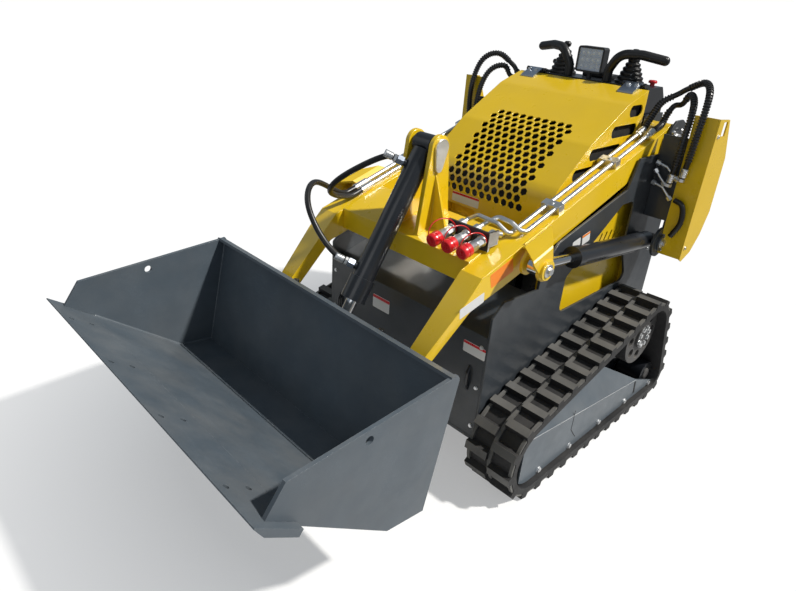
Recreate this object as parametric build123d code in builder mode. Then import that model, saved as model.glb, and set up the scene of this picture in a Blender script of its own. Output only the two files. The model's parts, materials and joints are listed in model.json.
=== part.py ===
from build123d import *
import math
import os

os.makedirs("parts", exist_ok=True)

# Mini skid steer loader, built in millimetres.
# The bucket faces -Y, +X is the operator's left-hand side and +Z is up.
# The origin lies on the ground under the middle of the machine.

# Names and signs of the two sides: the left-hand side has positive X.
SIDES = (("left", 1), ("right", -1))

# Running fits and gaps
running_gap = 0.05       # radial play of a pin in its eye and of a rod in its gland
side_gap = 5.5           # side play between plates that move past each other
seat_gap = 0.3           # a piece that lies on another body

# Main frame
frame_inner = 347.0      # inner face of the side plates, from the middle plane
side_plate_t = 8.0
belly_z = 140.0          # ground clearance under the belly pan
belly_t = 12.0
frame_front_y = -208.0   # front face of the front plate
frame_rear_y = 805.0
front_plate_t = 12.0
front_plate_top = 508.0
front_rise_z = 572.0     # top of the side plates at their front corner
bulkhead_y = 20.0        # upright wall behind the front deck
bulkhead_top = 661.0
bulkhead_t = 6.0
bulkhead_half = 258.0
shelf_end_y = 168.0
deck_rear_z = 572.0
window_corner_r = 26.0
frame_outer = frame_inner + side_plate_t

# Pivots of the loader linkage, as (y, z)
arm_pivot = (710.0, 974.0)
lift_base_pin = (618.0, 640.0)
lift_lug_pin = (-97.0, 720.0)
bucket_pivot = (-506.0, 285.0)
tilt_top_pin = (-151.0, 978.0)
tilt_low_pin = (-461.0, 479.0)

# Tower beside each arm's pivot
tower_boss_r = 52.0
tower_top_z = 1034.0
tower_top_y = (684.0, 760.0)
tower_rear_z = 1012.0
tower_shelf_z = 932.0    # top of the side plate in front of the boss
tower_cross_y = 622.0    # front face of the cross plate beside the tower
tower_cross_t = 8.0
tower_cross_z = (718.0, 1000.0)
bracket_t = 10.0         # outer plate that carries the lift cylinder's base pin
bracket_r = 52.0
bracket_top = 790.0
inner_tower_x = 252.0
inner_tower_t = 9.0
inner_tower_y = (655.0, 800.0)
inner_tower_z = (700.0, 1040.0)
pivot_pin_r = 22.0
pin_head_r = 29.0
pin_head_t = 8.0

# Loader arms
arm_inner = 268.0
arm_outer = 341.0
arm_depth = 84.0         # depth of the box arm, square to its length
arm_slope = 17.6         # fall of the arm from its pivot to the knee, in degrees
knee_along = 1010.0      # pivot to the knee, along the arm's top
knee_under = (-285.0, 622.0)
hub_r = 47.0
leg_front = (-440.0, 530.0)
leg_rear = (-409.0, 500.0)
leg_hub_r = 38.0
leg_foot_outer = 309.0   # outer face of the leg at the bucket's pivot
leg_taper_z = (420.0, 655.0)
foot_pin_r = 16.0

# Cross member between the arms, and the ears of the tilt cylinder
cross_front_y = -235.0
cross_rear_y = -70.0
cross_low_z = 655.0
cross_front_top = 722.0
cross_rear_top = 772.0
ear_inner = 39.0         # inner face of each ear, from the middle plane
ear_t = 15.0
ear_r = 36.0
ear_foot_y = (-222.0, -84.0)
ear_gusset_w = 70.0
ear_gusset_t = 10.0
ear_gusset_top = 905.0
tilt_pin_r = 18.0

# Flared lug of the lift cylinder: a roof out of the arm's top edge and two plates under it
lug_t = 10.0
lug_r = 34.0
lug_roof_rise = 17.0     # height of the roof's flat part above the arm's top
lug_roof_t = 8.0
lug_root = (692.0, 833.0)     # ends of the roof along the arm, at the arm's side
lug_tip = (813.0, 899.0)      # ends of the roof along the arm, at the outer plate
lug_plate_in = (361.0, 370.0)

# Lift cylinders
lift_bore_r = 29.0       # outer radius of the barrel
lift_gland_r = 33.0
lift_gland_l = 34.0
lift_barrel_l = 528.0    # base pin to the gland's face
lift_rod_r = 15.0
lift_eye_r = 24.0
lift_eye_w = 30.0
lift_pin_r = 14.0
lift_pipe_r = 5.0
lift_pipe_run = (90.0, 490.0)

# Tilt cylinder
tilt_bore_r = 33.0
tilt_gland_r = 38.0
tilt_gland_l = 70.0
tilt_barrel_l = 500.0
tilt_rod_r = 18.0
tilt_eye_r = 30.0
tilt_eye_w = 64.0
tilt_port_r = 11.0
tilt_port_l = 62.0
tilt_port_turn = 42.0    # from the barrel's front towards the right-hand side, in degrees
tilt_ports = (78.0, 406.0)

# Tracks: a belt over a front idler, a raised rear sprocket and a rear roller
track_inner = 362.0
track_outer = 530.0
belt_t = 20.0
lug_h = 20.0
tread_l = 36.0
tread_tip_l = 26.0
tread_n = 33
idler_at = (-115.0, 150.0)
sprocket_at = (540.0, 315.0)
rear_roller_at = (690.0, 88.0)
idler_r = 110.0
sprocket_r = 110.0
rear_roller_r = 48.0
wheel_side = 36.0        # belt that shows at each side of the wheels
sprocket_hole_r = 17.0
sprocket_hole_n = 8
road_roller_r = 42.0
road_roller_y = (60.0, 200.0, 340.0, 480.0)
beam_out = 392.0
cover_posts = ((20.0, 150.0), (270.0, 134.0), (410.0, 112.0))
cover_low_z = 44.0
cover_ridge = ((-178.0, 224.0), (562.0, 124.0), (742.0, 44.0))     # (y, z) of the cover's outer fold
cover_peak = ((270.0, 252.0), (345.0, 248.0))
cover_peak_in = 50.0     # the peak lies this far inside the outer face
cover_t = 6.0
cover_set_in = 16.0      # outer face of the cover inside the belt's edge

# Bucket, drawn level and then rolled back about the lip
lip = (-1080.0, 540.0)
roll_back = 36.0
bucket_half = 509.0
edge_half = 530.0
shell_t = 8.0
bucket_side_t = 10.0
edge_l = 125.0
edge_t = 18.0
heel_front = (443.0, -12.0)
heel_rear = (546.0, 42.0)
bucket_top = (404.0, 368.0)
top_flange = 26.0
side_nose = (40.0, 82.0)
edge_hole_r = 7.0
edge_rows = (24.0, 81.0)
edge_columns = (-400.5, -133.5, 133.5, 400.5)
side_hole_at = (209.0, 187.0)
side_hole_r = 11.0

# Quick attach plate behind the bucket, measured up the bucket's back
mount_t = 12.0
mount_half = 325.0
mount_run = (18.0, 300.0)
attach_t = 12.0
attach_run = (24.0, 292.0)
ear_plate_t = 10.0
ear_plate_r = 34.0
lever_x = 191.0
lever_r = 9.0
lever_run = (150.0, 332.0)

# Engine block, its yellow side panels and the hood
engine_box = ((-190.0, 190.0), (176.0, 560.0))
engine_top = 690.0
panel_x = 316.0
panel_t = 4.0
panel_vents = 5
hood_half = 262.0
hood_t = 4.0
hood_low_z = 668.0
hood_brow = (138.0, 828.0)
hood_mid = (320.0, 975.0)
hood_shoulder = (520.0, 1086.0)
hood_top = (640.0, 1124.0)
hood_hinge = (652.0, 1134.0)
hinge_x = 228.0
hinge_w = 56.0
hinge_r = 8.0
hinge_pin_r = 3.5
hood_skirt_z = 905.0
hood_bend_r = 120.0
hood_slot_h = 38.0
hood_slots = (
    # front end, rear end, height above the ground
    (535.0, 622.0, 1061.0),
    (439.0, 606.0, 1001.0),
    (324.0, 520.0, 941.0),
    (242.0, 400.0, 886.0),
    (180.0, 290.0, 832.0),
)
vent_r = 13.0            # corner radius of each six-sided vent
vent_pitch = 30.6
vent_start = 107.0       # first row, along the crown from the hood's front edge
vent_rows = 14
vent_columns = 11
recess_x = (-140.0, -20.0)
recess_z = (680.0, 716.0)
recess_depth = 24.0

# Console and controls
console_half = 245.0
console_y = (662.0, 812.0)
console_z = (700.0, 1126.0)
bar_r = 16.0
bar_path = ((79, 681, 1126.3), (79, 681, 1166), (113, 677, 1222), (178, 712, 1224), (248, 742, 1212))
stick_x = 138.0
stick_y = 738.0
boot_r = 50.0
boot_h = 88.0
boot_ribs = 6
lamp_w = 106.0
lamp_h = 88.0
lamp_d = 36.0
lamp_at = (695.0, 1190.0)
pad_half = 205.0
pad_z = (640.0, 1010.0)
pad_t = 50.0

# Operator's platform at the rear
platform_half = 235.0
platform_l = 250.0
platform_t = 8.0
platform_hinge = (828.0, 206.0)
platform_flange = 40.0
platform_tube_x = 190.0
platform_tube_r = 15.0
platform_pin_r = 8.0

# Fenders beside the towers
fender_w = 80.0
fender_t = 5.0
fender_y = 622.0
fender_low_z = 600.0
fender_top = 1075.0
fender_edge = (
    # outline of the outer plate behind its front edge, as (y, z)
    (706.0, 1068.0),
    (771.0, 936.0),
    (780.0, 746.0),
    (749.0, 667.0),
    (701.0, 611.0),
    (640.0, 589.0),
)
fender_hole = (678.0, 1040.0)

# Aux hydraulics: couplers on the cross member and two pipes along one arm
aux_pipe_r = 7.0
aux_pipe_x = (288.0, 320.0)
pipe_run = (130.0, 826.0)
pipe_clamps = (330.0, 640.0)
coupler_x = (152.0, 207.0, 262.0)
coupler_at = (-178.0, 772.0)     # where each coupler's axis passes its bracket
coupler_tip = 12.0       # the couplers point down to the front by this angle, in degrees
coupler_steps = (
    # start and end along the axis from the bracket, radius, sides of its outline (0 for round)
    (-34.0, 0.0, 12.0, 0),
    (8.0, 34.0, 14.0, 6),
    (34.0, 62.0, 17.0, 0),
    (62.0, 92.0, 20.0, 0),
)
bracket_half = 75.0
bracket_h = (-30.0, 25.0)
bracket_flange_low = 755.0       # the bracket's side flange ends over the arm's top

# Hoses: over the towers, and at the tilt cylinder
hose_r = 9.0
ferrule_r = 11.0
ferrule_l = 52.0
hose_gap = 8.0           # between hose ends that move apart
tower_hose_x = (462.0, 424.0)
tower_hose_top = (1150.0, 1108.0)

# Worked out from the sizes above
slope = math.radians(arm_slope)
cylinder_x = frame_outer + side_gap + lift_gland_r
lug_inner_x = cylinder_x + lift_eye_w / 2 + side_gap
bracket_x = cylinder_x + lift_bore_r + side_gap
fender_outer = bracket_x + bracket_t + fender_w
wheel_w = track_outer - track_inner - 2 * wheel_side
cover_x = track_outer - cover_set_in


def arm_point(along, across):
    """Point of the arm's side view: along the arm from its pivot, and square to it."""
    y = arm_pivot[0] - along * math.cos(slope) - across * math.sin(slope)
    z = arm_pivot[1] - along * math.sin(slope) + across * math.cos(slope)
    return (y, z)


def side_plane(x):
    """Plane square to X, drawn as (y, z)."""
    return Plane.YZ.offset(x)


def bucket_plane(x):
    """Plane square to X in the bucket's own level frame, drawn as (back, up)."""
    roll = math.radians(roll_back)
    return Plane(
        origin=(x, lip[0], lip[1]),
        x_dir=(0, math.cos(roll), -math.sin(roll)),
        z_dir=(1, 0, 0),
    )


def between(a, b):
    """Length and heading in degrees from a to b in the side view."""
    dy = b[0] - a[0]
    dz = b[1] - a[1]
    return math.hypot(dy, dz), math.degrees(math.atan2(dz, dy))


def axis_plane(x, at, heading):
    """Plane whose normal runs along a heading in the side view, through (x, at)."""
    h = math.radians(heading)
    return Plane(origin=(x, at[0], at[1]), x_dir=(1, 0, 0), z_dir=(0, math.cos(h), math.sin(h)))


def across(x, at, s=1):
    """Plane square to X at a point of the side view, facing outwards on side s."""
    return Plane(origin=(x, at[0], at[1]), x_dir=(0, 1, 0), z_dir=(s, 0, 0))


def belt_path(offset):
    """Circles of the belt's closed loop, each grown by offset."""
    wheels = (
        (idler_at, idler_r + belt_t),
        (sprocket_at, sprocket_r + belt_t),
        (rear_roller_at, rear_roller_r + belt_t),
    )
    return [(at, r + offset) for at, r in wheels]


def loop_points(count):
    """Evenly spaced places on the belt's outer line, as (y, z, heading)."""
    wheels = belt_path(0)
    legs = []
    for i, (c1, r1) in enumerate(wheels):
        c2, r2 = wheels[(i + 1) % 3]
        dist, heading = between(c1, c2)
        lean = math.degrees(math.asin((r1 - r2) / dist))
        legs.append((math.sqrt(dist**2 - (r1 - r2) ** 2), heading - lean))
    pieces = []
    for i, (c, r) in enumerate(wheels):
        before = legs[i - 1][1]
        turn = (before - legs[i][1]) % 360
        pieces.append(("arc", c, r, before + 90, turn, math.radians(turn) * r))
        pieces.append(("run", c, r, legs[i][1], legs[i][0], legs[i][0]))
    total = sum(p[5] for p in pieces)
    places = []
    for k in range(count):
        rest = total * k / count
        for kind, c, r, angle, size, length in pieces:
            if rest > length:
                rest -= length
                continue
            if kind == "arc":
                out = angle - math.degrees(rest / r)
                y = c[0] + r * math.cos(math.radians(out))
                z = c[1] + r * math.sin(math.radians(out))
                places.append((y, z, out))
            else:
                out = math.radians(angle + 90)
                y = c[0] + r * math.cos(out) + rest * math.cos(math.radians(angle))
                z = c[1] + r * math.sin(out) + rest * math.sin(math.radians(angle))
                places.append((y, z, angle + 90))
            break
    return places, total


def shifted(points, distance):
    """The same open line moved to its left by a distance, with mitred corners."""
    normals = []
    for a, b in zip(points, points[1:]):
        length = math.hypot(b[0] - a[0], b[1] - a[1])
        normals.append((-(b[1] - a[1]) / length, (b[0] - a[0]) / length))
    moved = []
    for i, (y, z) in enumerate(points):
        n1 = normals[max(i - 1, 0)]
        n2 = normals[min(i, len(normals) - 1)]
        scale = distance / (1 + n1[0] * n2[0] + n1[1] * n2[1])
        moved.append((y + scale * (n1[0] + n2[0]), z + scale * (n1[1] + n2[1])))
    return moved


def sheet(points, thickness):
    """Closed outline of a folded sheet about its middle line."""
    return shifted(points, thickness / 2) + shifted(points, -thickness / 2)[::-1]


def bend_radius(points):
    """Bend radius that leaves a straight piece between the bends of a pipe."""
    corners = [Vector(p) for p in points]
    radii = []
    for a, b, c in zip(corners, corners[1:], corners[2:]):
        turn = math.radians((b - a).get_angle(c - b))
        radii.append(0.45 * min((b - a).length, (c - b).length) / math.tan(turn / 2))
    return min(radii)


def hose(points, radius):
    """Round hose or tube along a line of points, with equal bends."""
    with BuildLine() as run:
        FilletPolyline(*points, radius=bend_radius(points))
    with BuildSketch(Plane(origin=run.line @ 0, z_dir=run.line % 0)) as ring:
        Circle(radius)
    sweep(ring.sketch, path=run.wires()[0])


def back_plane(x):
    """Plane square to X, drawn as (off the bucket's back, up its back)."""
    lean = math.atan2(bucket_top[1] - heel_rear[1], bucket_top[0] - heel_rear[0]) - math.radians(roll_back)
    foot = bucket_plane(x).from_local_coords((heel_rear[0], heel_rear[1], 0))
    out = (0, math.sin(lean), -math.cos(lean))
    return Plane(origin=foot, x_dir=out, z_dir=(1, 0, 0)).offset(0)


def on_back(x, off, up):
    """World point given across the machine, off the bucket's back and up its back."""
    spot = back_plane(x).from_local_coords((off + shell_t / 2, up, 0))
    return (spot.X, spot.Y, spot.Z)


# Side plates of the frame, each with its tower and a large window
for side, s in SIDES:
    with BuildPart() as side_plate:
        with BuildSketch(side_plane(s * frame_inner)) as outline:
            with BuildLine():
                Polyline(
                    (frame_front_y, belly_z),
                    (frame_front_y, front_rise_z),
                    (-162, 612),
                    (5, 602),
                    (10, 680),
                    (44, 706),
                    (76, 735),
                    (385, 818),
                    (452, 834),
                    (495, tower_shelf_z),
                    (655, tower_shelf_z),
                    (arm_pivot[0] - tower_boss_r, arm_pivot[1]),
                    (tower_top_y[0], tower_top_z - 18),
                    (tower_top_y[0] + 24, tower_top_z),
                    (tower_top_y[1], tower_top_z),
                    (frame_rear_y, tower_rear_z),
                    (frame_rear_y, 215),
                    (760, belly_z),
                    close=True,
                )
            make_face()
        extrude(amount=s * side_plate_t)
        with BuildSketch(side_plane(s * frame_inner)) as window:
            with BuildLine():
                Polyline((156, 474), (600, 474), (525, 610), (525, 786), (440, 786), (156, 600), close=True)
            make_face()
            fillet(window.vertices(), window_corner_r)
        extrude(amount=s * side_plate_t, mode=Mode.SUBTRACT)
        with Locations(across(s * frame_inner, arm_pivot)):
            Cylinder(pivot_pin_r, 4 * side_plate_t, mode=Mode.SUBTRACT)
    side_plate.part.label = f"side_plate_{side}"
    export_step(side_plate.part, f"parts/side_plate_{side}.step")

# Front plate with the sloping deck behind it
with BuildPart() as front_plate:
    with BuildSketch(side_plane(-frame_inner)):
        with BuildLine():
            Polyline(
                (frame_front_y, belly_z + belly_t),
                (frame_front_y, front_plate_top),
                (bulkhead_y, deck_rear_z),
                (bulkhead_y, deck_rear_z - front_plate_t),
                (frame_front_y + front_plate_t, front_plate_top - front_plate_t),
                (frame_front_y + front_plate_t, belly_z + belly_t),
                close=True,
            )
        make_face()
    extrude(amount=2 * frame_inner)
front_plate.part.label = "front_plate"
export_step(front_plate.part, "parts/front_plate.step")

# Bulkhead behind the front deck, folded back as a shelf under the hood's front
with BuildPart() as bulkhead:
    with BuildSketch(side_plane(-bulkhead_half)):
        with BuildLine():
            Polyline(
                sheet(
                    (
                        (bulkhead_y + bulkhead_t / 2, deck_rear_z - front_plate_t),
                        (bulkhead_y + bulkhead_t / 2, bulkhead_top - bulkhead_t / 2),
                        (shelf_end_y, bulkhead_top - bulkhead_t / 2),
                    ),
                    bulkhead_t,
                ),
                close=True,
            )
        make_face()
    extrude(amount=2 * bulkhead_half)
bulkhead.part.label = "bulkhead"
export_step(bulkhead.part, "parts/bulkhead.step")

# Belly pan
with BuildPart() as belly_pan:
    with Locations((0, frame_front_y, belly_z)):
        Box(2 * frame_inner, 760 - frame_front_y, belly_t, align=(Align.CENTER, Align.MIN, Align.MIN))
belly_pan.part.label = "belly_pan"
export_step(belly_pan.part, "parts/belly_pan.step")

# Rear panel, with the folded foot that carries the platform's hinge
with BuildPart() as rear_panel:
    with Locations((0, frame_rear_y - 8, 215)):
        Box(2 * frame_inner, 8, console_z[0] - 215, align=(Align.CENTER, Align.MIN, Align.MIN))
    with BuildSketch(side_plane(-platform_half)):
        with BuildLine():
            Polyline(
                (760, belly_z + belly_t),
                (frame_rear_y, 215),
                (frame_rear_y - 8, 223),
                (752, 160),
                close=True,
            )
        make_face()
    extrude(amount=2 * platform_half)
rear_panel.part.label = "rear_panel"
export_step(rear_panel.part, "parts/rear_panel.step")

# Tower fittings: cross plate, outer bracket with the cylinder's base pin,
# and the inner plate with the arm's pivot pin
for side, s in SIDES:
    with BuildPart() as tower:
        with Locations((s * frame_outer, tower_cross_y, tower_cross_z[0])):
            Box(
                bracket_x + bracket_t - frame_outer,
                tower_cross_t,
                tower_cross_z[1] - tower_cross_z[0],
                align=(Align.MIN if s > 0 else Align.MAX, Align.MIN, Align.MIN),
            )
        with BuildSketch(side_plane(s * bracket_x)):
            with Locations(lift_base_pin):
                Circle(bracket_r)
            with BuildLine():
                Polyline(
                    (tower_cross_y + tower_cross_t, bracket_top),
                    (tower_cross_y + tower_cross_t, lift_base_pin[1] + bracket_r),
                    (lift_base_pin[0], lift_base_pin[1] + bracket_r),
                    (lift_base_pin[0] - bracket_r, lift_base_pin[1]),
                    (lift_base_pin[0], lift_base_pin[1] - bracket_r),
                    (lift_base_pin[0] + 70, lift_base_pin[1] - 10),
                    (lift_base_pin[0] + 70, bracket_top),
                    close=True,
                )
            make_face()
        extrude(amount=s * bracket_t)
        with Locations(across(s * frame_outer, lift_base_pin, s)):
            Cylinder(
                lift_pin_r,
                bracket_x + bracket_t - frame_outer + pin_head_t,
                align=(Align.CENTER, Align.CENTER, Align.MIN),
            )
        with Locations(across(s * (bracket_x + bracket_t), lift_base_pin, s)):
            Cylinder(pin_head_r, pin_head_t, align=(Align.CENTER, Align.CENTER, Align.MIN))
        with Locations((s * inner_tower_x, inner_tower_y[0], inner_tower_z[0])):
            Box(
                inner_tower_t,
                inner_tower_y[1] - inner_tower_y[0],
                inner_tower_z[1] - inner_tower_z[0],
                align=(Align.MIN if s > 0 else Align.MAX, Align.MIN, Align.MIN),
            )
        with Locations(across(s * inner_tower_x, arm_pivot, s)):
            Cylinder(
                pivot_pin_r,
                frame_outer - inner_tower_x + pin_head_t,
                align=(Align.CENTER, Align.CENTER, Align.MIN),
            )
        with Locations(across(s * frame_outer, arm_pivot, s)):
            Cylinder(pin_head_r, pin_head_t, align=(Align.CENTER, Align.CENTER, Align.MIN))
    tower.part.label = f"tower_{side}"
    export_step(tower.part, f"parts/tower_{side}.step")

# Fenders: a cross plate with a folded front edge, and a rounded outer plate
for side, s in SIDES:
    with BuildPart() as fender:
        with BuildSketch(side_plane(s * fender_outer)) as skirt:
            with BuildLine():
                Polyline((fender_y, fender_top), *fender_edge, (fender_y, fender_low_z), close=True)
            make_face()
            with Locations(fender_hole):
                Rectangle(34, 46, mode=Mode.SUBTRACT)
        extrude(amount=-s * fender_t)
        with Locations((s * fender_outer, fender_y, fender_low_z)):
            Box(
                fender_w,
                fender_t,
                fender_top - fender_low_z,
                align=(Align.MAX if s > 0 else Align.MIN, Align.MIN, Align.MIN),
            )
        with Locations(across(s * (bracket_x + bracket_t), lift_base_pin, s)):
            Cylinder(
                pin_head_r + 3,
                pin_head_t + 3,
                align=(Align.CENTER, Align.CENTER, Align.MIN),
                mode=Mode.SUBTRACT,
            )
    fender.part.label = f"fender_{side}"
    export_step(fender.part, f"parts/fender_{side}.step")

# Loader arms: a straight box from the hub to the knee, a tapered leg, and the flared lug
for side, s in SIDES:
    with BuildPart() as arm:
        reach, foot_heading = between(bucket_pivot, ((leg_front[0] + leg_rear[0]) / 2, leg_front[1]))
        square = math.radians(foot_heading + 90)
        foot = (leg_hub_r * math.cos(square), leg_hub_r * math.sin(square))
        with BuildSketch(side_plane(s * arm_inner)):
            with BuildLine():
                Polyline(
                    arm_point(0, arm_depth / 2),
                    arm_point(knee_along, arm_depth / 2),
                    leg_front,
                    (bucket_pivot[0] + foot[0], bucket_pivot[1] + foot[1]),
                    (bucket_pivot[0] - foot[0], bucket_pivot[1] - foot[1]),
                    leg_rear,
                    knee_under,
                    arm_point(850, -arm_depth / 2),
                    arm_point(0, -arm_depth / 2),
                    close=True,
                )
            make_face()
            with Locations(arm_pivot):
                Circle(hub_r)
            with Locations(bucket_pivot):
                Circle(leg_hub_r)
        extrude(amount=s * (arm_outer - arm_inner))
        with BuildSketch(Plane.XZ.offset(-knee_under[0])):
            with BuildLine():
                Polyline(
                    (s * arm_outer, leg_taper_z[1]),
                    (s * leg_foot_outer, leg_taper_z[0]),
                    (s * leg_foot_outer, bucket_pivot[1] - 2 * leg_hub_r),
                    (s * (arm_outer + 20), bucket_pivot[1] - 2 * leg_hub_r),
                    (s * (arm_outer + 20), leg_taper_z[1]),
                    close=True,
                )
            make_face()
        extrude(amount=400, both=True, mode=Mode.SUBTRACT)
        with Locations(across(s * arm_inner, arm_pivot)):
            Cylinder(pivot_pin_r + running_gap, 4 * (arm_outer - arm_inner), mode=Mode.SUBTRACT)
        with Locations(across(s * arm_inner, bucket_pivot)):
            Cylinder(foot_pin_r + running_gap, 4 * (arm_outer - arm_inner), mode=Mode.SUBTRACT)
    roof = arm_depth / 2 + lug_roof_rise
    along_plane = Plane(
        origin=(0, *arm_point(0, 0)),
        x_dir=(1, 0, 0),
        z_dir=(0, math.sin(slope), -math.cos(slope)),
    )
    end_plane = Plane(
        origin=(0, *arm_point(lug_root[0] - 20, 0)),
        x_dir=(1, 0, 0),
        z_dir=(0, -math.cos(slope), -math.sin(slope)),
    )
    lug_out = lug_inner_x + lug_t
    with BuildPart() as lug:
        with BuildSketch(end_plane):
            with BuildLine():
                Polyline(
                    (s * (arm_outer - 4), arm_depth / 2),
                    (s * (arm_outer + 2), arm_depth / 2),
                    (s * lug_plate_in[0], roof),
                    (s * (lug_out - 5), roof),
                    (s * lug_out, roof - 5),
                    (s * lug_out, -lug_r - 8),
                    (s * lug_inner_x, -lug_r - 8),
                    (s * lug_inner_x, roof - lug_roof_t),
                    (s * lug_plate_in[0], roof - lug_roof_t),
                    (s * (arm_outer - 4), arm_depth / 2 - lug_roof_t - 4),
                    close=True,
                )
            make_face()
        extrude(amount=lug_tip[1] - lug_root[0] + 40)
        with BuildSketch(along_plane):
            with BuildLine():
                Polyline(
                    (s * (arm_outer - 6), lug_root[0]),
                    (s * (arm_outer - 6), lug_root[1]),
                    (s * (lug_out + 1), lug_tip[1]),
                    (s * (lug_out + 1), lug_tip[0]),
                    close=True,
                )
            make_face()
        extrude(amount=200, both=True, mode=Mode.INTERSECT)
        with BuildSketch(side_plane(s * (arm_outer - 6))):
            with BuildLine():
                Polyline(
                    (lift_lug_pin[0] + lug_r, lift_lug_pin[1]),
                    arm_point(lug_root[0] - 10, roof - lug_roof_t - 6),
                    arm_point(lug_root[0] - 10, roof + 10),
                    arm_point(lug_tip[1], roof + 10),
                    arm_point(lug_tip[1], roof - lug_roof_t),
                    (lift_lug_pin[0] - lug_r, lift_lug_pin[1]),
                    close=True,
                )
            make_face()
            with Locations(lift_lug_pin):
                Circle(lug_r)
        extrude(amount=s * 150, mode=Mode.INTERSECT)
        with BuildSketch(side_plane(s * lug_plate_in[0])):
            with BuildLine():
                Polyline(
                    (lift_lug_pin[0] + lug_r, lift_lug_pin[1]),
                    arm_point((lug_root[0] + lug_tip[0]) / 2, roof - lug_roof_t / 2),
                    arm_point(lug_root[1] + 6, roof - lug_roof_t / 2),
                    (lift_lug_pin[0] - lug_r, lift_lug_pin[1]),
                    close=True,
                )
            make_face()
            with Locations(lift_lug_pin):
                Circle(lug_r)
        extrude(amount=s * (lug_plate_in[1] - lug_plate_in[0]))
        with Locations(across(s * lug_out, lift_lug_pin, s)):
            Cylinder(pin_head_r, pin_head_t, align=(Align.CENTER, Align.CENTER, Align.MIN))
    with BuildPart() as lift_arm:
        add(arm.part)
        add(lug.part)
    lift_arm.part.label = f"lift_arm_{side}"
    export_step(lift_arm.part, f"parts/lift_arm_{side}.step")

# Cross member with its corner gussets and the two ears of the tilt cylinder
with BuildPart() as cross_member:
    with BuildSketch(side_plane(-arm_inner)):
        with BuildLine():
            Polyline(
                (cross_front_y, cross_low_z),
                (cross_front_y, cross_front_top),
                (cross_rear_y, cross_rear_top),
                (cross_rear_y, cross_low_z + 30),
                (cross_rear_y - 40, cross_low_z),
                close=True,
            )
        make_face()
    extrude(amount=2 * arm_inner)
    for side, s in SIDES:
        ear_x = s * ear_inner
        with BuildSketch(side_plane(ear_x)):
            with BuildLine():
                Polyline(
                    (ear_foot_y[0], cross_front_top - 10),
                    (tilt_top_pin[0] - ear_r, tilt_top_pin[1]),
                    (tilt_top_pin[0] + ear_r, tilt_top_pin[1]),
                    (ear_foot_y[1], cross_front_top + 10),
                    close=True,
                )
            make_face()
            with Locations(tilt_top_pin):
                Circle(ear_r)
            with Locations(tilt_top_pin):
                Circle(tilt_pin_r, mode=Mode.SUBTRACT)
        extrude(amount=s * ear_t)
        gusset_y = (ear_foot_y[0] + ear_foot_y[1]) / 2
        with BuildSketch(Plane.XZ.offset(-gusset_y)):
            with BuildLine():
                Polyline(
                    (ear_x, cross_front_top - 10),
                    (ear_x + s * (ear_t + ear_gusset_w), cross_front_top - 10),
                    (ear_x + s * ear_t, ear_gusset_top),
                    (ear_x, ear_gusset_top),
                    close=True,
                )
            make_face()
        extrude(amount=ear_gusset_t)
cross_member.part.label = "cross_member"
export_step(cross_member.part, "parts/cross_member.step")

# Pin of the tilt cylinder's top eye, with a retaining flag on its end
with BuildPart() as tilt_pin:
    with Locations(across(-ear_inner - ear_t - pin_head_t, tilt_top_pin)):
        Cylinder(
            tilt_pin_r,
            2 * (ear_inner + ear_t + pin_head_t),
            align=(Align.CENTER, Align.CENTER, Align.MIN),
        )
    for side, s in SIDES:
        with BuildSketch(side_plane(s * (ear_inner + ear_t))) as flag:
            with Locations(tilt_top_pin):
                Circle(pin_head_r - 3)
            with Locations((tilt_top_pin[0] - 6, tilt_top_pin[1] - 56)):
                Circle(14)
            make_hull()
        extrude(amount=s * pin_head_t)
tilt_pin.part.label = "tilt_pin"
export_step(tilt_pin.part, "parts/tilt_pin.step")

# Lift cylinders: barrel with its base eye, gland and return pipe; rod with its eye
lift_len, lift_heading = between(lift_base_pin, lift_lug_pin)
for side, s in SIDES:
    base = axis_plane(s * cylinder_x, lift_base_pin, lift_heading)
    with BuildPart() as lift_barrel:
        with BuildSketch(base.offset(lift_eye_r - 6)):
            Circle(lift_bore_r)
        extrude(amount=lift_barrel_l - lift_eye_r + 6)
        with BuildSketch(base.offset(lift_barrel_l - lift_gland_l)):
            Circle(lift_gland_r)
        extrude(amount=lift_gland_l)
        with Locations(across(s * cylinder_x, lift_base_pin)):
            Cylinder(lift_eye_r, lift_eye_w)
            Cylinder(lift_pin_r + running_gap, 4 * lift_eye_w, mode=Mode.SUBTRACT)
        with BuildSketch(base.offset(lift_barrel_l - lift_gland_l - 300)):
            Circle(lift_rod_r + running_gap)
        extrude(amount=320 + lift_gland_l, mode=Mode.SUBTRACT)
        with BuildSketch(base.offset(lift_pipe_run[0])):
            with Locations((0, s * 0 - lift_bore_r - lift_pipe_r + 1)):
                Circle(lift_pipe_r)
        extrude(amount=lift_pipe_run[1] - lift_pipe_run[0])
    lift_barrel.part.label = f"lift_barrel_{side}"
    export_step(lift_barrel.part, f"parts/lift_barrel_{side}.step")
    with BuildPart() as lift_rod:
        with BuildSketch(base.offset(lift_barrel_l - 200)):
            Circle(lift_rod_r)
        extrude(amount=lift_len - lift_barrel_l + 200)
        with Locations(across(s * cylinder_x, lift_lug_pin)):
            Cylinder(lift_eye_r, lift_eye_w)
    lift_rod.part.label = f"lift_rod_{side}"
    export_step(lift_rod.part, f"parts/lift_rod_{side}.step")

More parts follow.
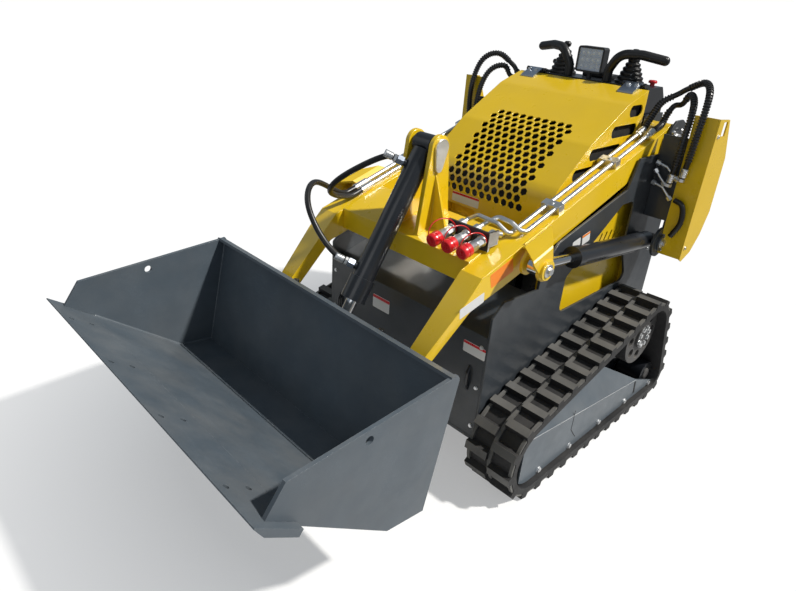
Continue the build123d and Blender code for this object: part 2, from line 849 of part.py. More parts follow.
# Tilt cylinder on the middle plane
tilt_len, tilt_heading = between(tilt_top_pin, tilt_low_pin)
tilt_base = axis_plane(0, tilt_top_pin, tilt_heading)
with BuildPart() as tilt_barrel:
    with BuildSketch(tilt_base.offset(tilt_eye_r - 8)):
        Circle(tilt_bore_r)
    extrude(amount=tilt_barrel_l - tilt_eye_r + 8)
    with BuildSketch(tilt_base.offset(tilt_barrel_l - tilt_gland_l)):
        Circle(tilt_gland_r)
    extrude(amount=tilt_gland_l)
    with Locations(across(0, tilt_top_pin)):
        Cylinder(tilt_eye_r, tilt_eye_w)
        Cylinder(tilt_pin_r + running_gap, 4 * tilt_eye_w, mode=Mode.SUBTRACT)
    turn = math.radians(tilt_port_turn)
    ahead = math.radians(tilt_heading - 90)
    port_dir = Vector(-math.sin(turn), math.cos(turn) * math.cos(ahead), math.cos(turn) * math.sin(ahead))
    for port in tilt_ports:
        foot = tilt_base.offset(port).origin
        with BuildSketch(Plane(origin=foot, z_dir=port_dir)):
            Circle(tilt_port_r)
        extrude(amount=tilt_port_l)
    with BuildSketch(tilt_base.offset(tilt_barrel_l - 360)):
        Circle(tilt_rod_r + running_gap)
    extrude(amount=380, mode=Mode.SUBTRACT)
tilt_barrel.part.label = "tilt_barrel"
export_step(tilt_barrel.part, "parts/tilt_barrel.step")
with BuildPart() as tilt_rod:
    with BuildSketch(tilt_base.offset(tilt_barrel_l - 250)):
        Circle(tilt_rod_r)
    extrude(amount=tilt_len - tilt_barrel_l + 250)
    with Locations(across(0, tilt_low_pin)):
        Cylinder(tilt_eye_r, tilt_eye_w)
tilt_rod.part.label = "tilt_rod"
export_step(tilt_rod.part, "parts/tilt_rod.step")

# Bucket: a folded shell, its two side plates and the flange along its top
with BuildPart() as bucket:
    with BuildSketch(bucket_plane(-bucket_half)):
        with BuildLine():
            Polyline(
                sheet(
                    (
                        (edge_l + seat_gap, 0),
                        heel_front,
                        heel_rear,
                        bucket_top,
                        (bucket_top[0] - top_flange, bucket_top[1] - 6),
                    ),
                    shell_t,
                ),
                close=True,
            )
        make_face()
    extrude(amount=2 * bucket_half)
    for side, s in SIDES:
        with BuildSketch(bucket_plane(s * bucket_half)) as cheek:
            with BuildLine():
                Polyline(
                    (side_nose[0], shell_t / 2 + seat_gap),
                    side_nose,
                    (bucket_top[0] - 8, bucket_top[1] + 8),
                    (bucket_top[0] + 6, bucket_top[1]),
                    (heel_rear[0] + 4, heel_rear[1]),
                    (heel_front[0], heel_front[1] - shell_t / 2),
                    (edge_l + seat_gap, -shell_t / 2),
                    (edge_l + seat_gap, shell_t / 2 + seat_gap),
                    close=True,
                )
            make_face()
            with Locations(side_hole_at):
                Circle(side_hole_r, mode=Mode.SUBTRACT)
        extrude(amount=-s * bucket_side_t)
bucket.part.label = "bucket"
export_step(bucket.part, "parts/bucket.step")

# Cutting edge: a bevelled bar with pairs of bolt holes
with BuildPart() as cutting_edge:
    with BuildSketch(bucket_plane(-edge_half)):
        with BuildLine():
            Polyline(
                (0, shell_t / 2),
                (0, shell_t / 2 - 3),
                (34, shell_t / 2 - edge_t),
                (edge_l, shell_t / 2 - edge_t),
                (edge_l, shell_t / 2),
                close=True,
            )
        make_face()
    extrude(amount=2 * edge_half)
    for x in edge_columns:
        for row in edge_rows:
            hole = bucket_plane(x).from_local_coords((row, 0, 0))
            up = bucket_plane(x).y_dir
            with BuildSketch(Plane(origin=hole, z_dir=up)):
                Circle(edge_hole_r)
            extrude(amount=2 * edge_t, both=True, mode=Mode.SUBTRACT)
cutting_edge.part.label = "cutting_edge"
export_step(cutting_edge.part, "parts/cutting_edge.step")

# Mount plate on the bucket's back
with BuildPart() as mount_plate:
    with BuildSketch(back_plane(-mount_half)):
        with BuildLine():
            Polyline(
                (shell_t / 2, mount_run[0]),
                (shell_t / 2 + mount_t, mount_run[0]),
                (shell_t / 2 + mount_t, mount_run[1]),
                (shell_t / 2, mount_run[1]),
                close=True,
            )
        make_face()
    extrude(amount=2 * mount_half)
mount_plate.part.label = "mount_plate"
export_step(mount_plate.part, "parts/mount_plate.step")

# Quick attach plate with the ears of the arms' feet and of the tilt cylinder
back_foot = back_plane(0).to_local_coords(Vector(0, *bucket_pivot))
back_high = back_plane(0).to_local_coords(Vector(0, *tilt_low_pin))
attach_in = shell_t / 2 + mount_t + seat_gap
attach_out = attach_in + attach_t
ear_pairs = (
    # inner face, thickness, pin centre off the back and up the back
    (arm_inner - side_gap - ear_plate_t, ear_plate_t, back_foot),
    (leg_foot_outer + side_gap, ear_plate_t, back_foot),
    (ear_inner, ear_t, back_high),
)
with BuildPart() as attachment_plate:
    with BuildSketch(back_plane(-mount_half)):
        with BuildLine():
            Polyline(
                (attach_in, attach_run[0]),
                (attach_out, attach_run[0]),
                (attach_out, attach_run[1]),
                (attach_in, attach_run[1]),
                close=True,
            )
        make_face()
    extrude(amount=2 * mount_half)
    with BuildSketch(back_plane(-ear_inner)):
        with Locations(((attach_in + attach_out) / 2, back_high.Y)):
            Rectangle(2 * attach_t, 120)
    extrude(amount=2 * ear_inner, mode=Mode.SUBTRACT)
    for side, s in SIDES:
        for x, t, pin in ear_pairs:
            with BuildSketch(back_plane(s * x)):
                with BuildLine():
                    Polyline(
                        (attach_out - 1, pin.Y - 1.7 * ear_plate_r),
                        (pin.X, pin.Y - ear_plate_r),
                        (pin.X, pin.Y + ear_plate_r),
                        (attach_out - 1, min(pin.Y + 1.7 * ear_plate_r, attach_run[1])),
                        close=True,
                    )
                make_face()
                with Locations((pin.X, pin.Y)):
                    Circle(ear_plate_r)
            extrude(amount=s * t)
        with Locations(across(s * ear_pairs[0][0], bucket_pivot, s)):
            Cylinder(
                foot_pin_r,
                ear_pairs[1][0] + ear_plate_t + pin_head_t - ear_pairs[0][0],
                align=(Align.CENTER, Align.CENTER, Align.MIN),
            )
        with Locations(across(s * (ear_pairs[1][0] + ear_plate_t), bucket_pivot, s)):
            Cylinder(pin_head_r - 4, pin_head_t, align=(Align.CENTER, Align.CENTER, Align.MIN))
        with Locations(across(s * (ear_inner + ear_t), tilt_low_pin, s)):
            Cylinder(pin_head_r - 3, pin_head_t, align=(Align.CENTER, Align.CENTER, Align.MIN))
attachment_plate.part.label = "attachment_plate"
export_step(attachment_plate.part, "parts/attachment_plate.step")

# Lock levers of the quick attach, one at each side
with BuildPart() as lock_levers:
    for side, s in SIDES:
        x = s * lever_x
        points = (
            on_back(x, 38, lever_run[0]),
            on_back(x, 38, lever_run[0] + 90),
            on_back(x, 62, lever_run[0] + 130),
            on_back(x, 62, lever_run[1]),
        )
        hose(points, lever_r)
        with BuildSketch(back_plane(x - 16)):
            with Locations((attach_out + 17, lever_run[0] + 12)):
                Rectangle(33, 44)
        extrude(amount=32)
lock_levers.part.label = "lock_levers"
export_step(lock_levers.part, "parts/lock_levers.step")

# Tracks: one closed loop of belt with two staggered rows of lugs
places, loop_length = loop_points(2 * tread_n)
for side, s in SIDES:
    with BuildPart() as track:
        with BuildSketch(side_plane(s * track_inner)):
            for at, r in belt_path(0):
                with Locations(at):
                    Circle(r)
            make_hull()
        extrude(amount=s * (track_outer - track_inner))
        with BuildSketch(side_plane(s * track_inner)):
            for at, r in belt_path(-belt_t + seat_gap):
                with Locations(at):
                    Circle(r)
            make_hull()
        extrude(amount=s * (track_outer - track_inner), mode=Mode.SUBTRACT)
        row_w = (track_outer - track_inner - 10) / 2
        for row in (0, 1):
            with BuildSketch(side_plane(s * (track_inner + row * (row_w + 10)))):
                for y, z, out in places[row::2]:
                    with Locations(Location((y, z, 0), (0, 0, out - 90))):
                        Polygon(
                            (-tread_l / 2, -4),
                            (tread_l / 2, -4),
                            (tread_tip_l / 2, lug_h),
                            (-tread_tip_l / 2, lug_h),
                            align=None,
                        )
            extrude(amount=s * row_w)
    track.part.label = f"track_{side}"
    export_step(track.part, f"parts/track_{side}.step")

# Wheels inside each track: front idler, drive sprocket, rear roller and road rollers
wheel_in = (track_inner + track_outer - wheel_w) / 2
for side, s in SIDES:
    with BuildPart() as idler:
        with Locations(across(s * beam_out, idler_at, s)):
            Cylinder(24, wheel_in + wheel_w - beam_out + 6, align=(Align.CENTER, Align.CENTER, Align.MIN))
        with Locations(across(s * wheel_in, idler_at, s)):
            Cylinder(idler_r, wheel_w, align=(Align.CENTER, Align.CENTER, Align.MIN))
    idler.part.label = f"idler_{side}"
    export_step(idler.part, f"parts/idler_{side}.step")
    with BuildPart() as sprocket:
        with Locations(across(s * frame_outer, sprocket_at, s)):
            Cylinder(60, wheel_in - frame_outer, align=(Align.CENTER, Align.CENTER, Align.MIN))
        with BuildSketch(side_plane(s * wheel_in)):
            with Locations(sprocket_at):
                Circle(sprocket_r)
                with PolarLocations(sprocket_r - 32, sprocket_hole_n):
                    Circle(sprocket_hole_r, mode=Mode.SUBTRACT)
        extrude(amount=s * wheel_w)
        with Locations(across(s * (wheel_in + wheel_w), sprocket_at, s)):
            Cylinder(46, 8, align=(Align.CENTER, Align.CENTER, Align.MIN))
    sprocket.part.label = f"sprocket_{side}"
    export_step(sprocket.part, f"parts/sprocket_{side}.step")
    with BuildPart() as rollers:
        spots = [(rear_roller_at, rear_roller_r)]
        road_z = rear_roller_at[1] - rear_roller_r + road_roller_r
        spots += [((y, road_z), road_roller_r) for y in road_roller_y]
        for at, r in spots:
            with Locations(across(s * wheel_in, at, s)):
                Cylinder(r, wheel_w, align=(Align.CENTER, Align.CENTER, Align.MIN))
            with Locations(across(s * beam_out, at, s)):
                Cylinder(15, wheel_in - beam_out, align=(Align.CENTER, Align.CENTER, Align.MIN))
    rollers.part.label = f"rollers_{side}"
    export_step(rollers.part, f"parts/rollers_{side}.step")

# Track frames: a beam at the frame's side and spacers out to the guard cover
for side, s in SIDES:
    with BuildPart() as track_frame:
        with BuildSketch(side_plane(s * frame_outer)):
            with BuildLine():
                Polyline(
                    (-150, 118),
                    (-150, 182),
                    (60, 205),
                    (420, 205),
                    (560, 150),
                    (712, 112),
                    (712, 64),
                    (640, 60),
                    (-80, 60),
                    close=True,
                )
            make_face()
        extrude(amount=s * (beam_out - frame_outer))
        for at in cover_posts:
            with Locations(across(s * beam_out, at, s)):
                Cylinder(14, cover_x - cover_t - beam_out, align=(Align.CENTER, Align.CENTER, Align.MIN))
    track_frame.part.label = f"track_frame_{side}"
    export_step(track_frame.part, f"parts/track_frame_{side}.step")
    with BuildPart() as track_cover:
        with BuildSketch(side_plane(s * cover_x)):
            for at, r in belt_path(-belt_t - 5):
                with Locations(at):
                    Circle(r)
            make_hull()
            with BuildLine():
                Polyline((cover_ridge[0][0], cover_low_z), *cover_ridge, close=True)
            make_face(mode=Mode.INTERSECT)
        extrude(amount=-s * cover_t)
        fold = [(s * cover_x, *cover_ridge[0]), (s * cover_x, *cover_ridge[1])]
        peak = [(s * (cover_x - cover_peak_in), *p) for p in cover_peak]
        roof_plane = Plane(
            origin=fold[0],
            x_dir=Vector(*fold[1]) - Vector(*fold[0]),
            z_dir=(Vector(*fold[1]) - Vector(*fold[0])).cross(Vector(*peak[1]) - Vector(*fold[0])),
        )
        with BuildSketch(roof_plane):
            corners = [roof_plane.to_local_coords(Vector(*p)) for p in (fold[0], fold[1], peak[1], peak[0])]
            with BuildLine():
                Polyline(*[(c.X, c.Y) for c in corners], close=True)
            make_face()
        extrude(amount=-s * cover_t / 2)
    track_cover.part.label = f"track_cover_{side}"
    export_step(track_cover.part, f"parts/track_cover_{side}.step")

# Engine with its pumps, as one plain block on the belly pan
with BuildPart() as engine_block:
    (x0, x1), (y0, y1) = engine_box
    with Locations((x0, y0, belly_z + belly_t)):
        Box(x1 - x0, y1 - y0, engine_top - belly_z - belly_t, align=(Align.MIN, Align.MIN, Align.MIN))
engine_block.part.label = "engine_block"
export_step(engine_block.part, "parts/engine_block.step")

# Engine panels inside the side plates' windows, with slanted vents
with BuildPart() as engine_panels:
    for side, s in SIDES:
        with BuildSketch(side_plane(s * panel_x)):
            with BuildLine():
                Polyline((50, 330), (50, 620), (600, 866), (640, 866), (640, 330), close=True)
            make_face()
            for z in (600, 660):
                for i in range(panel_vents):
                    with Locations(Location((405 + 33 * i, z, 0), (0, 0, -25))):
                        SlotOverall(46, 9, rotation=90, mode=Mode.SUBTRACT)
        extrude(amount=s * panel_t)
        with Locations((s * (panel_x + panel_t), 620, 500)):
            Box(
                frame_inner - panel_x - panel_t,
                20,
                300,
                align=(Align.MIN if s > 0 else Align.MAX, Align.MIN, Align.CENTER),
            )
engine_panels.part.label = "engine_panels"
export_step(engine_panels.part, "parts/engine_panels.step")

# Hood: front, crown and side skirts of one thin sheet, open below and behind
crown = ((hood_brow[0], hood_low_z), hood_brow, hood_mid, hood_shoulder, hood_top)
with BuildPart() as hood:
    with BuildSketch(side_plane(-hood_half)):
        with BuildLine() as edge:
            FilletPolyline(*crown, radius=hood_bend_r)
            crown_line = edge.wires()[0]     # its X and Y are the machine's Y and Z
            Polyline(hood_top, (hood_top[0], hood_skirt_z), crown[0])
        make_face()
    extrude(amount=2 * hood_half)
    rear = hood.faces().sort_by(Axis.Y)[-1]
    under = hood.faces().filter_by(lambda f: f.normal_at().Z < -0.5)[0]
    offset(amount=-hood_t, openings=[rear, under])
    for side, s in SIDES:
        with BuildSketch(side_plane(s * hood_half)):
            for front, back, z in hood_slots:
                with Locations(((front + back) / 2, z)):
                    SlotOverall(back - front, hood_slot_h)
        extrude(amount=-s * 2 * hood_t, mode=Mode.SUBTRACT)
    for row in range(vent_rows):
        spot = vent_start + row * vent_pitch * math.sin(math.pi / 3)
        at = crown_line.position_at(spot, position_mode=PositionMode.LENGTH)
        way = crown_line.tangent_at(spot, position_mode=PositionMode.LENGTH)
        outward = (0, -abs(way.Y), abs(way.X))
        with BuildSketch(Plane(origin=(0, at.X, at.Y), x_dir=(1, 0, 0), z_dir=outward)):
            with GridLocations(vent_pitch, 1, vent_columns - row % 2, 1):
                RegularPolygon(vent_r, 6, rotation=30)
        extrude(amount=3 * hood_t, both=True, mode=Mode.SUBTRACT)
    middle = ((recess_x[0] + recess_x[1]) / 2, hood_brow[0] + hood_t, (recess_z[0] + recess_z[1]) / 2)
    size = (recess_x[1] - recess_x[0], recess_depth, recess_z[1] - recess_z[0])
    with Locations(middle):
        Box(
            size[0] + 2 * hood_t,
            size[1],
            size[2] + 2 * hood_t,
            align=(Align.CENTER, Align.MIN, Align.CENTER),
        )
    with Locations((middle[0], hood_brow[0] - hood_t, middle[2])):
        Box(
            size[0],
            size[1] + hood_t,
            size[2],
            align=(Align.CENTER, Align.MIN, Align.CENTER),
            mode=Mode.SUBTRACT,
        )
hood.part.label = "hood"
export_step(hood.part, "parts/hood.step")

# Hinges at the hood's rear edge: leaves on the hood, and pins held by the console
with BuildPart() as hood_hinges:
    for side, s in SIDES:
        x = s * hinge_x
        with BuildSketch(side_plane(x)):
            with BuildLine():
                Polyline(
                    (hood_top[0] + 2, hood_top[1] + 1),
                    (hood_top[0] - 46, hood_top[1] - 14),
                    (hood_top[0] - 46, hood_top[1] - 9),
                    (hood_hinge[0] - 2, hood_hinge[1] + hinge_r),
                    (hood_hinge[0] - 2, hood_hinge[1] - hinge_r),
                    close=True,
                )
            make_face()
            with Locations(hood_hinge):
                Circle(hinge_r)
            with Locations(hood_hinge):
                Circle(hinge_pin_r + running_gap, mode=Mode.SUBTRACT)
        extrude(amount=-s * hinge_w)
hood_hinges.part.label = "hood_hinges"
export_step(hood_hinges.part, "parts/hood_hinges.step")
with BuildPart() as hinge_pins:
    for side, s in SIDES:
        with Locations(across(s * (hinge_x + side_gap + 8), hood_hinge, -s)):
            Cylinder(
                hinge_pin_r,
                hinge_w + 2 * side_gap + 16,
                align=(Align.CENTER, Align.CENTER, Align.MIN),
            )
        for x in (hinge_x + side_gap, hinge_x - hinge_w - side_gap - 8):
            with BuildSketch(side_plane(s * x)):
                with Locations(hood_hinge):
                    Circle(hinge_r)
                with BuildLine():
                    Polyline(
                        (hood_hinge[0], hood_hinge[1] + hinge_r),
                        (console_y[0] + 26, console_z[1] + 4),
                        (console_y[0] + 26, console_z[1]),
                        (hood_hinge[0] + 10, console_z[1]),
                        (hood_hinge[0], hood_hinge[1] - hinge_r),
                        close=True,
                    )
                make_face()
            extrude(amount=s * 8)
hinge_pins.part.label = "hinge_pins"
export_step(hinge_pins.part, "parts/hinge_pins.step")

# Console
with BuildPart() as console:
    with BuildSketch(side_plane(-console_half)):
        with BuildLine():
            Polyline(
                (console_y[0], console_z[0]),
                (console_y[0], console_z[1]),
                (console_y[1] - 30, console_z[1]),
                (console_y[1], console_z[1] - 40),
                (console_y[1], console_z[0]),
                close=True,
            )
        make_face()
    extrude(amount=2 * console_half)
console.part.label = "console"
export_step(console.part, "parts/console.step")

# Handlebar: a bent grip at each side of the lamp
with BuildPart() as handlebar:
    for side, s in SIDES:
        hose([(s * x, y, z) for x, y, z in bar_path], bar_r)
handlebar.part.label = "handlebar"
export_step(handlebar.part, "parts/handlebar.step")

# Joysticks: a rubber boot, a thin stick and a knob
with BuildPart() as joysticks:
    for side, s in SIDES:
        foot = (s * stick_x, stick_y, console_z[1])
        with BuildSketch(Plane(origin=foot, x_dir=(1, 0, 0), z_dir=(0, -1, 0))):
            with BuildLine():
                bellows = []
                for rib in range(boot_ribs):
                    r = boot_r - rib * (boot_r - 14) / boot_ribs
                    z = boot_h * rib / boot_ribs
                    bellows += [(r, z), (r, z + 7), (r - 8, z + 11)]
                knob = ((6, 92), (13, 96), (15, 106), (9, 113), (0, 114))
                Polyline((0, 0), *bellows, (6, boot_h), *knob, close=True)
            make_face()
        revolve(axis=Axis(foot, (0, 0, 1)))
joysticks.part.label = "joysticks"
export_step(joysticks.part, "parts/joysticks.step")

# Work lamp on a stem in the middle of the console
with BuildPart() as work_lamp:
    with Locations((0, lamp_at[0], lamp_at[1])):
        Box(lamp_w, lamp_d, lamp_h)
    fillet(work_lamp.edges().filter_by(Axis.Y), 10)
    with Locations((0, lamp_at[0], console_z[1])):
        Cylinder(9, lamp_at[1] - console_z[1], align=(Align.CENTER, Align.CENTER, Align.MIN))
    with Locations((0, lamp_at[0] - lamp_d / 2, lamp_at[1])):
        Box(lamp_w - 14, 8, lamp_h - 14, mode=Mode.SUBTRACT)
work_lamp.part.label = "work_lamp"
export_step(work_lamp.part, "parts/work_lamp.step")
with BuildPart() as lamp_lens:
    with Locations((0, lamp_at[0] - lamp_d / 2 + 2, lamp_at[1])):
        Box(lamp_w - 14.6, 3, lamp_h - 14.6)
lamp_lens.part.label = "lamp_lens"
export_step(lamp_lens.part, "parts/lamp_lens.step")

# Thigh pad behind the console
with BuildPart() as thigh_pad:
    with Locations((0, console_y[1] + seat_gap, (pad_z[0] + pad_z[1]) / 2)):
        Box(2 * pad_half, pad_t, pad_z[1] - pad_z[0], align=(Align.CENTER, Align.MIN, Align.CENTER))
    fillet(thigh_pad.edges().filter_by(Axis.Y), 30)
    fillet(thigh_pad.faces().sort_by(Axis.Y)[-1].edges(), 18)
thigh_pad.part.label = "thigh_pad"
export_step(thigh_pad.part, "parts/thigh_pad.step")

# Operator's platform: a plate with flanges turned down, and the tubes of its hinge
with BuildPart() as platform:
    low = platform_hinge[1] - 2 - platform_t
    with Locations((0, platform_hinge[0] + 22, low)):
        Box(
            2 * platform_half,
            platform_l - 22,
            platform_t,
            align=(Align.CENTER, Align.MIN, Align.MIN),
        )
    with Locations((0, platform_hinge[0] + platform_l, low + platform_t)):
        Box(2 * platform_half, 6, platform_flange, align=(Align.CENTER, Align.MAX, Align.MAX))
    for side, s in SIDES:
        with Locations((s * platform_half, platform_hinge[0] + 40, low + platform_t)):
            Box(
                6,
                platform_l - 40,
                platform_flange,
                align=(Align.MAX if s > 0 else Align.MIN, Align.MIN, Align.MAX),
            )
        with BuildSketch(side_plane(s * platform_tube_x)):
            with Locations(platform_hinge):
                Circle(platform_tube_r)
            with BuildLine():
                Polyline(
                    (platform_hinge[0], low + platform_t),
                    (platform_hinge[0] + 30, low + platform_t),
                    (platform_hinge[0] + 30, low),
                    (platform_hinge[0] + 6, platform_hinge[1] - platform_tube_r),
                    (platform_hinge[0], platform_hinge[1] - platform_tube_r),
                    close=True,
                )
            make_face()
            with Locations(platform_hinge):
                Circle(platform_pin_r + running_gap, mode=Mode.SUBTRACT)
        extrude(amount=-s * 60)
platform.part.label = "platform"
export_step(platform.part, "parts/platform.step")

# Brackets and pins of the platform's hinge
with BuildPart() as platform_brackets:
    for side, s in SIDES:
        for x in (platform_tube_x + side_gap, platform_tube_x - 60 - side_gap - 8):
            with BuildSketch(side_plane(s * x)):
                with BuildLine():
                    Polyline(
                        (frame_rear_y, platform_hinge[1] + 60),
                        (platform_hinge[0] + 8, platform_hinge[1] + 12),
                        (platform_hinge[0] + 8, platform_hinge[1] - 10),
                        (platform_hinge[0] - 8, platform_hinge[1] - 14),
                        (frame_rear_y, 217),
                        close=True,
                    )
                make_face()
            extrude(amount=s * 8)
        with Locations(across(s * (platform_tube_x + side_gap + 8), platform_hinge, -s)):
            Cylinder(
                platform_pin_r,
                60 + 2 * side_gap + 16,
                align=(Align.CENTER, Align.CENTER, Align.MIN),
            )
platform_brackets.part.label = "platform_brackets"
export_step(platform_brackets.part, "parts/platform_brackets.step")

# Coupler bracket on the cross member with its three capped couplers
tip = math.radians(coupler_tip)
coupler_way = (0, -math.cos(tip), -math.sin(tip))
coupler_planes = [
    Plane(origin=(x, *coupler_at), x_dir=(1, 0, 0), z_dir=coupler_way) for x in coupler_x
]
with BuildPart() as coupler_bracket:
    with Locations((coupler_x[1], coupler_at[0], coupler_at[1] + bracket_h[0])):
        Box(
            2 * bracket_half,
            8,
            bracket_h[1] - bracket_h[0],
            align=(Align.CENTER, Align.MIN, Align.MIN),
        )
    with Locations((coupler_x[1] + bracket_half, coupler_at[0], bracket_flange_low)):
        Box(
            6,
            44,
            coupler_at[1] + bracket_h[1] - bracket_flange_low,
            align=(Align.MAX, Align.MIN, Align.MIN),
        )
    for at in coupler_planes:
        with BuildSketch(at):
            Circle(coupler_steps[0][2] + seat_gap)
        extrude(amount=20, both=True, mode=Mode.SUBTRACT)
coupler_bracket.part.label = "coupler_bracket"
export_step(coupler_bracket.part, "parts/coupler_bracket.step")
with BuildPart() as quick_couplers:
    for at in coupler_planes:
        for start, end, r, sides in coupler_steps:
            with BuildSketch(at.offset(start)):
                if sides:
                    RegularPolygon(r, sides)
                else:
                    Circle(r)
            extrude(amount=end - start)
        with BuildSketch(at):
            Circle(coupler_steps[0][2] - 2)
        extrude(amount=10)
quick_couplers.part.label = "quick_couplers"
export_step(quick_couplers.part, "parts/quick_couplers.step")

# Pipes along the arms, held by clamps: the auxiliary pair on the left, the tilt pair on the right
pipe_top = arm_depth / 2 + hose_r + side_gap
for side, s in SIDES:
    with BuildPart() as pipes:
        for i, x in enumerate(aux_pipe_x):
            a = arm_point(pipe_run[0], pipe_top)
            b = arm_point(pipe_run[1] - 24 * i, pipe_top)
            if s > 0:
                rear_end = (coupler_at[0] + 46 * math.cos(tip), coupler_at[1] + 46 * math.sin(tip))
                points = (
                    (x, *a),
                    (x, *b),
                    (x - 40, b[0] - 6, b[1] + 22),
                    (coupler_x[i] + 30, b[0] - 12, b[1] + 28),
                    (coupler_x[i], rear_end[0] + 22, rear_end[1] + 5),
                    (coupler_x[i], *rear_end),
                )
                hose(points, aux_pipe_r)
            else:
                along_arm = (0, b[0] - a[0], b[1] - a[1])
                with BuildSketch(Plane(origin=(-x, *a), z_dir=along_arm)):
                    Circle(aux_pipe_r)
                extrude(amount=pipe_run[1] - pipe_run[0])
                pipe_end = arm_point(pipe_run[1], pipe_top)
                with BuildSketch(Plane(origin=(-x, *pipe_end), z_dir=along_arm)):
                    Circle(ferrule_r)
                extrude(amount=ferrule_l)
        for along in pipe_clamps:
            spot = arm_point(along, arm_depth / 2)
            clamp = Plane(
                origin=(s * (aux_pipe_x[0] + aux_pipe_x[1]) / 2, *spot),
                x_dir=(1, 0, 0),
                z_dir=(0, -math.sin(slope), math.cos(slope)),
            )
            with Locations(clamp):
                Box(
                    aux_pipe_x[1] - aux_pipe_x[0] + 30,
                    28,
                    pipe_top - arm_depth / 2 + aux_pipe_r + 3,
                    align=(Align.CENTER, Align.CENTER, Align.MIN),
                )
    name = "aux_pipes" if s > 0 else "tilt_pipes"
    pipes.part.label = name
    export_step(pipes.part, f"parts/{name}.step")

# Hoses that go on from the pipes over the arms' pivots, as far as they move with the arms
with BuildPart() as arm_hoses:
    for side, s in SIDES:
        for i, x in enumerate(aux_pipe_x):
            start = arm_point(pipe_run[0] - 3 * seat_gap, pipe_top)
            knee = arm_point(pipe_run[0] - 62, pipe_top + 4)
            points = (
                (s * x, *start),
                (s * x, *knee),
                (s * (x + 6 * (1 - i)), 682 + 14 * i, tower_hose_top[i] - 62),
                (s * (330 - 2 * i), 700, tower_hose_top[i] - 6),
            )
            hose(points, hose_r)
arm_hoses.part.label = "arm_hoses"
export_step(arm_hoses.part, "parts/arm_hoses.step")

# The same hoses from the pivots down to the fittings on the towers, and the lift cylinders' loops
with BuildPart() as tower_hoses:
    for side, s in SIDES:
        for i, x in enumerate(tower_hose_x):
            top = tower_hose_top[i]
            points = (
                (s * (frame_outer + hose_gap), 700, top),
                (s * (x - 40), 676, top + 14),
                (s * x, 600, top - 40),
                (s * (x + 4), 599, top - 200),
                (s * (x - 4), 599, 868 - 26 * i),
            )
            hose(points, hose_r)
            with Locations((s * (x - 4), fender_y if i == 0 else tower_cross_y, 872 - 26 * i)):
                Box(26, 34, 24, align=(Align.CENTER, Align.MAX, Align.CENTER))
        loop = (
            (s * 452, 606, 800),
            (s * 486, 606, 792),
            (s * 496, 608, 730),
            (s * 470, 608, 676),
        )
        hose(loop, hose_r)
        with Locations((s * 450, fender_y, 800)):
            Box(22, 28, 24, align=(Align.CENTER, Align.MAX, Align.CENTER))
tower_hoses.part.label = "tower_hoses"
export_step(tower_hoses.part, "parts/tower_hoses.step")

# Hoses between the right-hand arm's pipes and the tilt cylinder's ports
port_ends = [Vector(*tilt_base.offset(port).origin) + port_dir * tilt_port_l for port in tilt_ports]
hose_end = arm_point(pipe_run[1] + ferrule_l + hose_gap, pipe_top)
hose_lead = arm_point(pipe_run[1] + ferrule_l + hose_gap + 45, pipe_top)
tilt_routes = (
    # bends between the port and the arm's pipe
    ((-112, -276, 916), (-216, -318, 842), (-280, -300, 776)),
    ((-112, -440, 704), (-196, -446, 800), (-262, -370, 846), (-312, -268, 790)),
)
with BuildPart() as tilt_hoses:
    for port, route, x in zip(port_ends, tilt_routes, aux_pipe_x):
        leaving = [tuple(port + port_dir * out) for out in (seat_gap, 26)]
        hose((*leaving, *route, (-x, *hose_lead), (-x, *hose_end)), hose_r)
tilt_hoses.part.label = "tilt_hoses"
export_step(tilt_hoses.part, "parts/tilt_hoses.step")
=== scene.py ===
import json
import logging
import math
from dataclasses import dataclass
from enum import Enum
from typing import Callable, Iterable, Optional, Sequence

import bmesh
import bpy
import numpy as np
from mathutils import Matrix, Vector
from mathutils.bvhtree import BVHTree


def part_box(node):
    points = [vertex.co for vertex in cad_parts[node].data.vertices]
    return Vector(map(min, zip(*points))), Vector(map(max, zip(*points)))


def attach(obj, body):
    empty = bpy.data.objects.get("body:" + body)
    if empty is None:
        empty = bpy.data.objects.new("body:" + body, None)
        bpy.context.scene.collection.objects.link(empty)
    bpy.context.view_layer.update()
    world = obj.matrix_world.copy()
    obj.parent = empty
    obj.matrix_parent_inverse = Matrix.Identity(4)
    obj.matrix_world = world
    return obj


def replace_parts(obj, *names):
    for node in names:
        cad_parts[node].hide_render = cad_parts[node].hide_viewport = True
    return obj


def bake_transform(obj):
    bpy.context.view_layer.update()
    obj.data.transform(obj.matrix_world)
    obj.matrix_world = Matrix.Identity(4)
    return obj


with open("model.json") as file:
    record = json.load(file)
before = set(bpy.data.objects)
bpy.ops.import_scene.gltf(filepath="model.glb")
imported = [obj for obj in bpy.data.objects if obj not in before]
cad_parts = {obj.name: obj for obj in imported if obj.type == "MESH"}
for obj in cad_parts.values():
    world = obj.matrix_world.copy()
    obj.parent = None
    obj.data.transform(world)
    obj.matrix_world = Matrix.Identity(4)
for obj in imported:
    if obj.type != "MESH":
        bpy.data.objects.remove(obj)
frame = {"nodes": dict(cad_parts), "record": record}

log = logging.getLogger("loader")

Pair = tuple[float, float]
Point = tuple[float, float, float]
Colour = tuple[float, float, float]
Value = float | Sequence[float] | bpy.types.NodeSocket
SIDES: tuple[tuple[str, int], ...] = (("left", 1), ("right", -1))

# The linkage in millimetres, as the CAD source has it
ARM_PIVOT = (710.0, 974.0)
SLOPE = math.radians(17.6)
LIP = (-1080.0, 540.0)
ROLL_BACK = 36.0
TILT_PIN = (-151.0, 978.0)
TILT_WAY = (-0.5277, -0.8494)
PORT_WAY = Vector((-0.6691, -0.6312, 0.3921))


def mm(x: float, y: float, z: float) -> Vector:
    """Point in metres from millimetres."""
    return Vector((x, y, z)) * 0.001


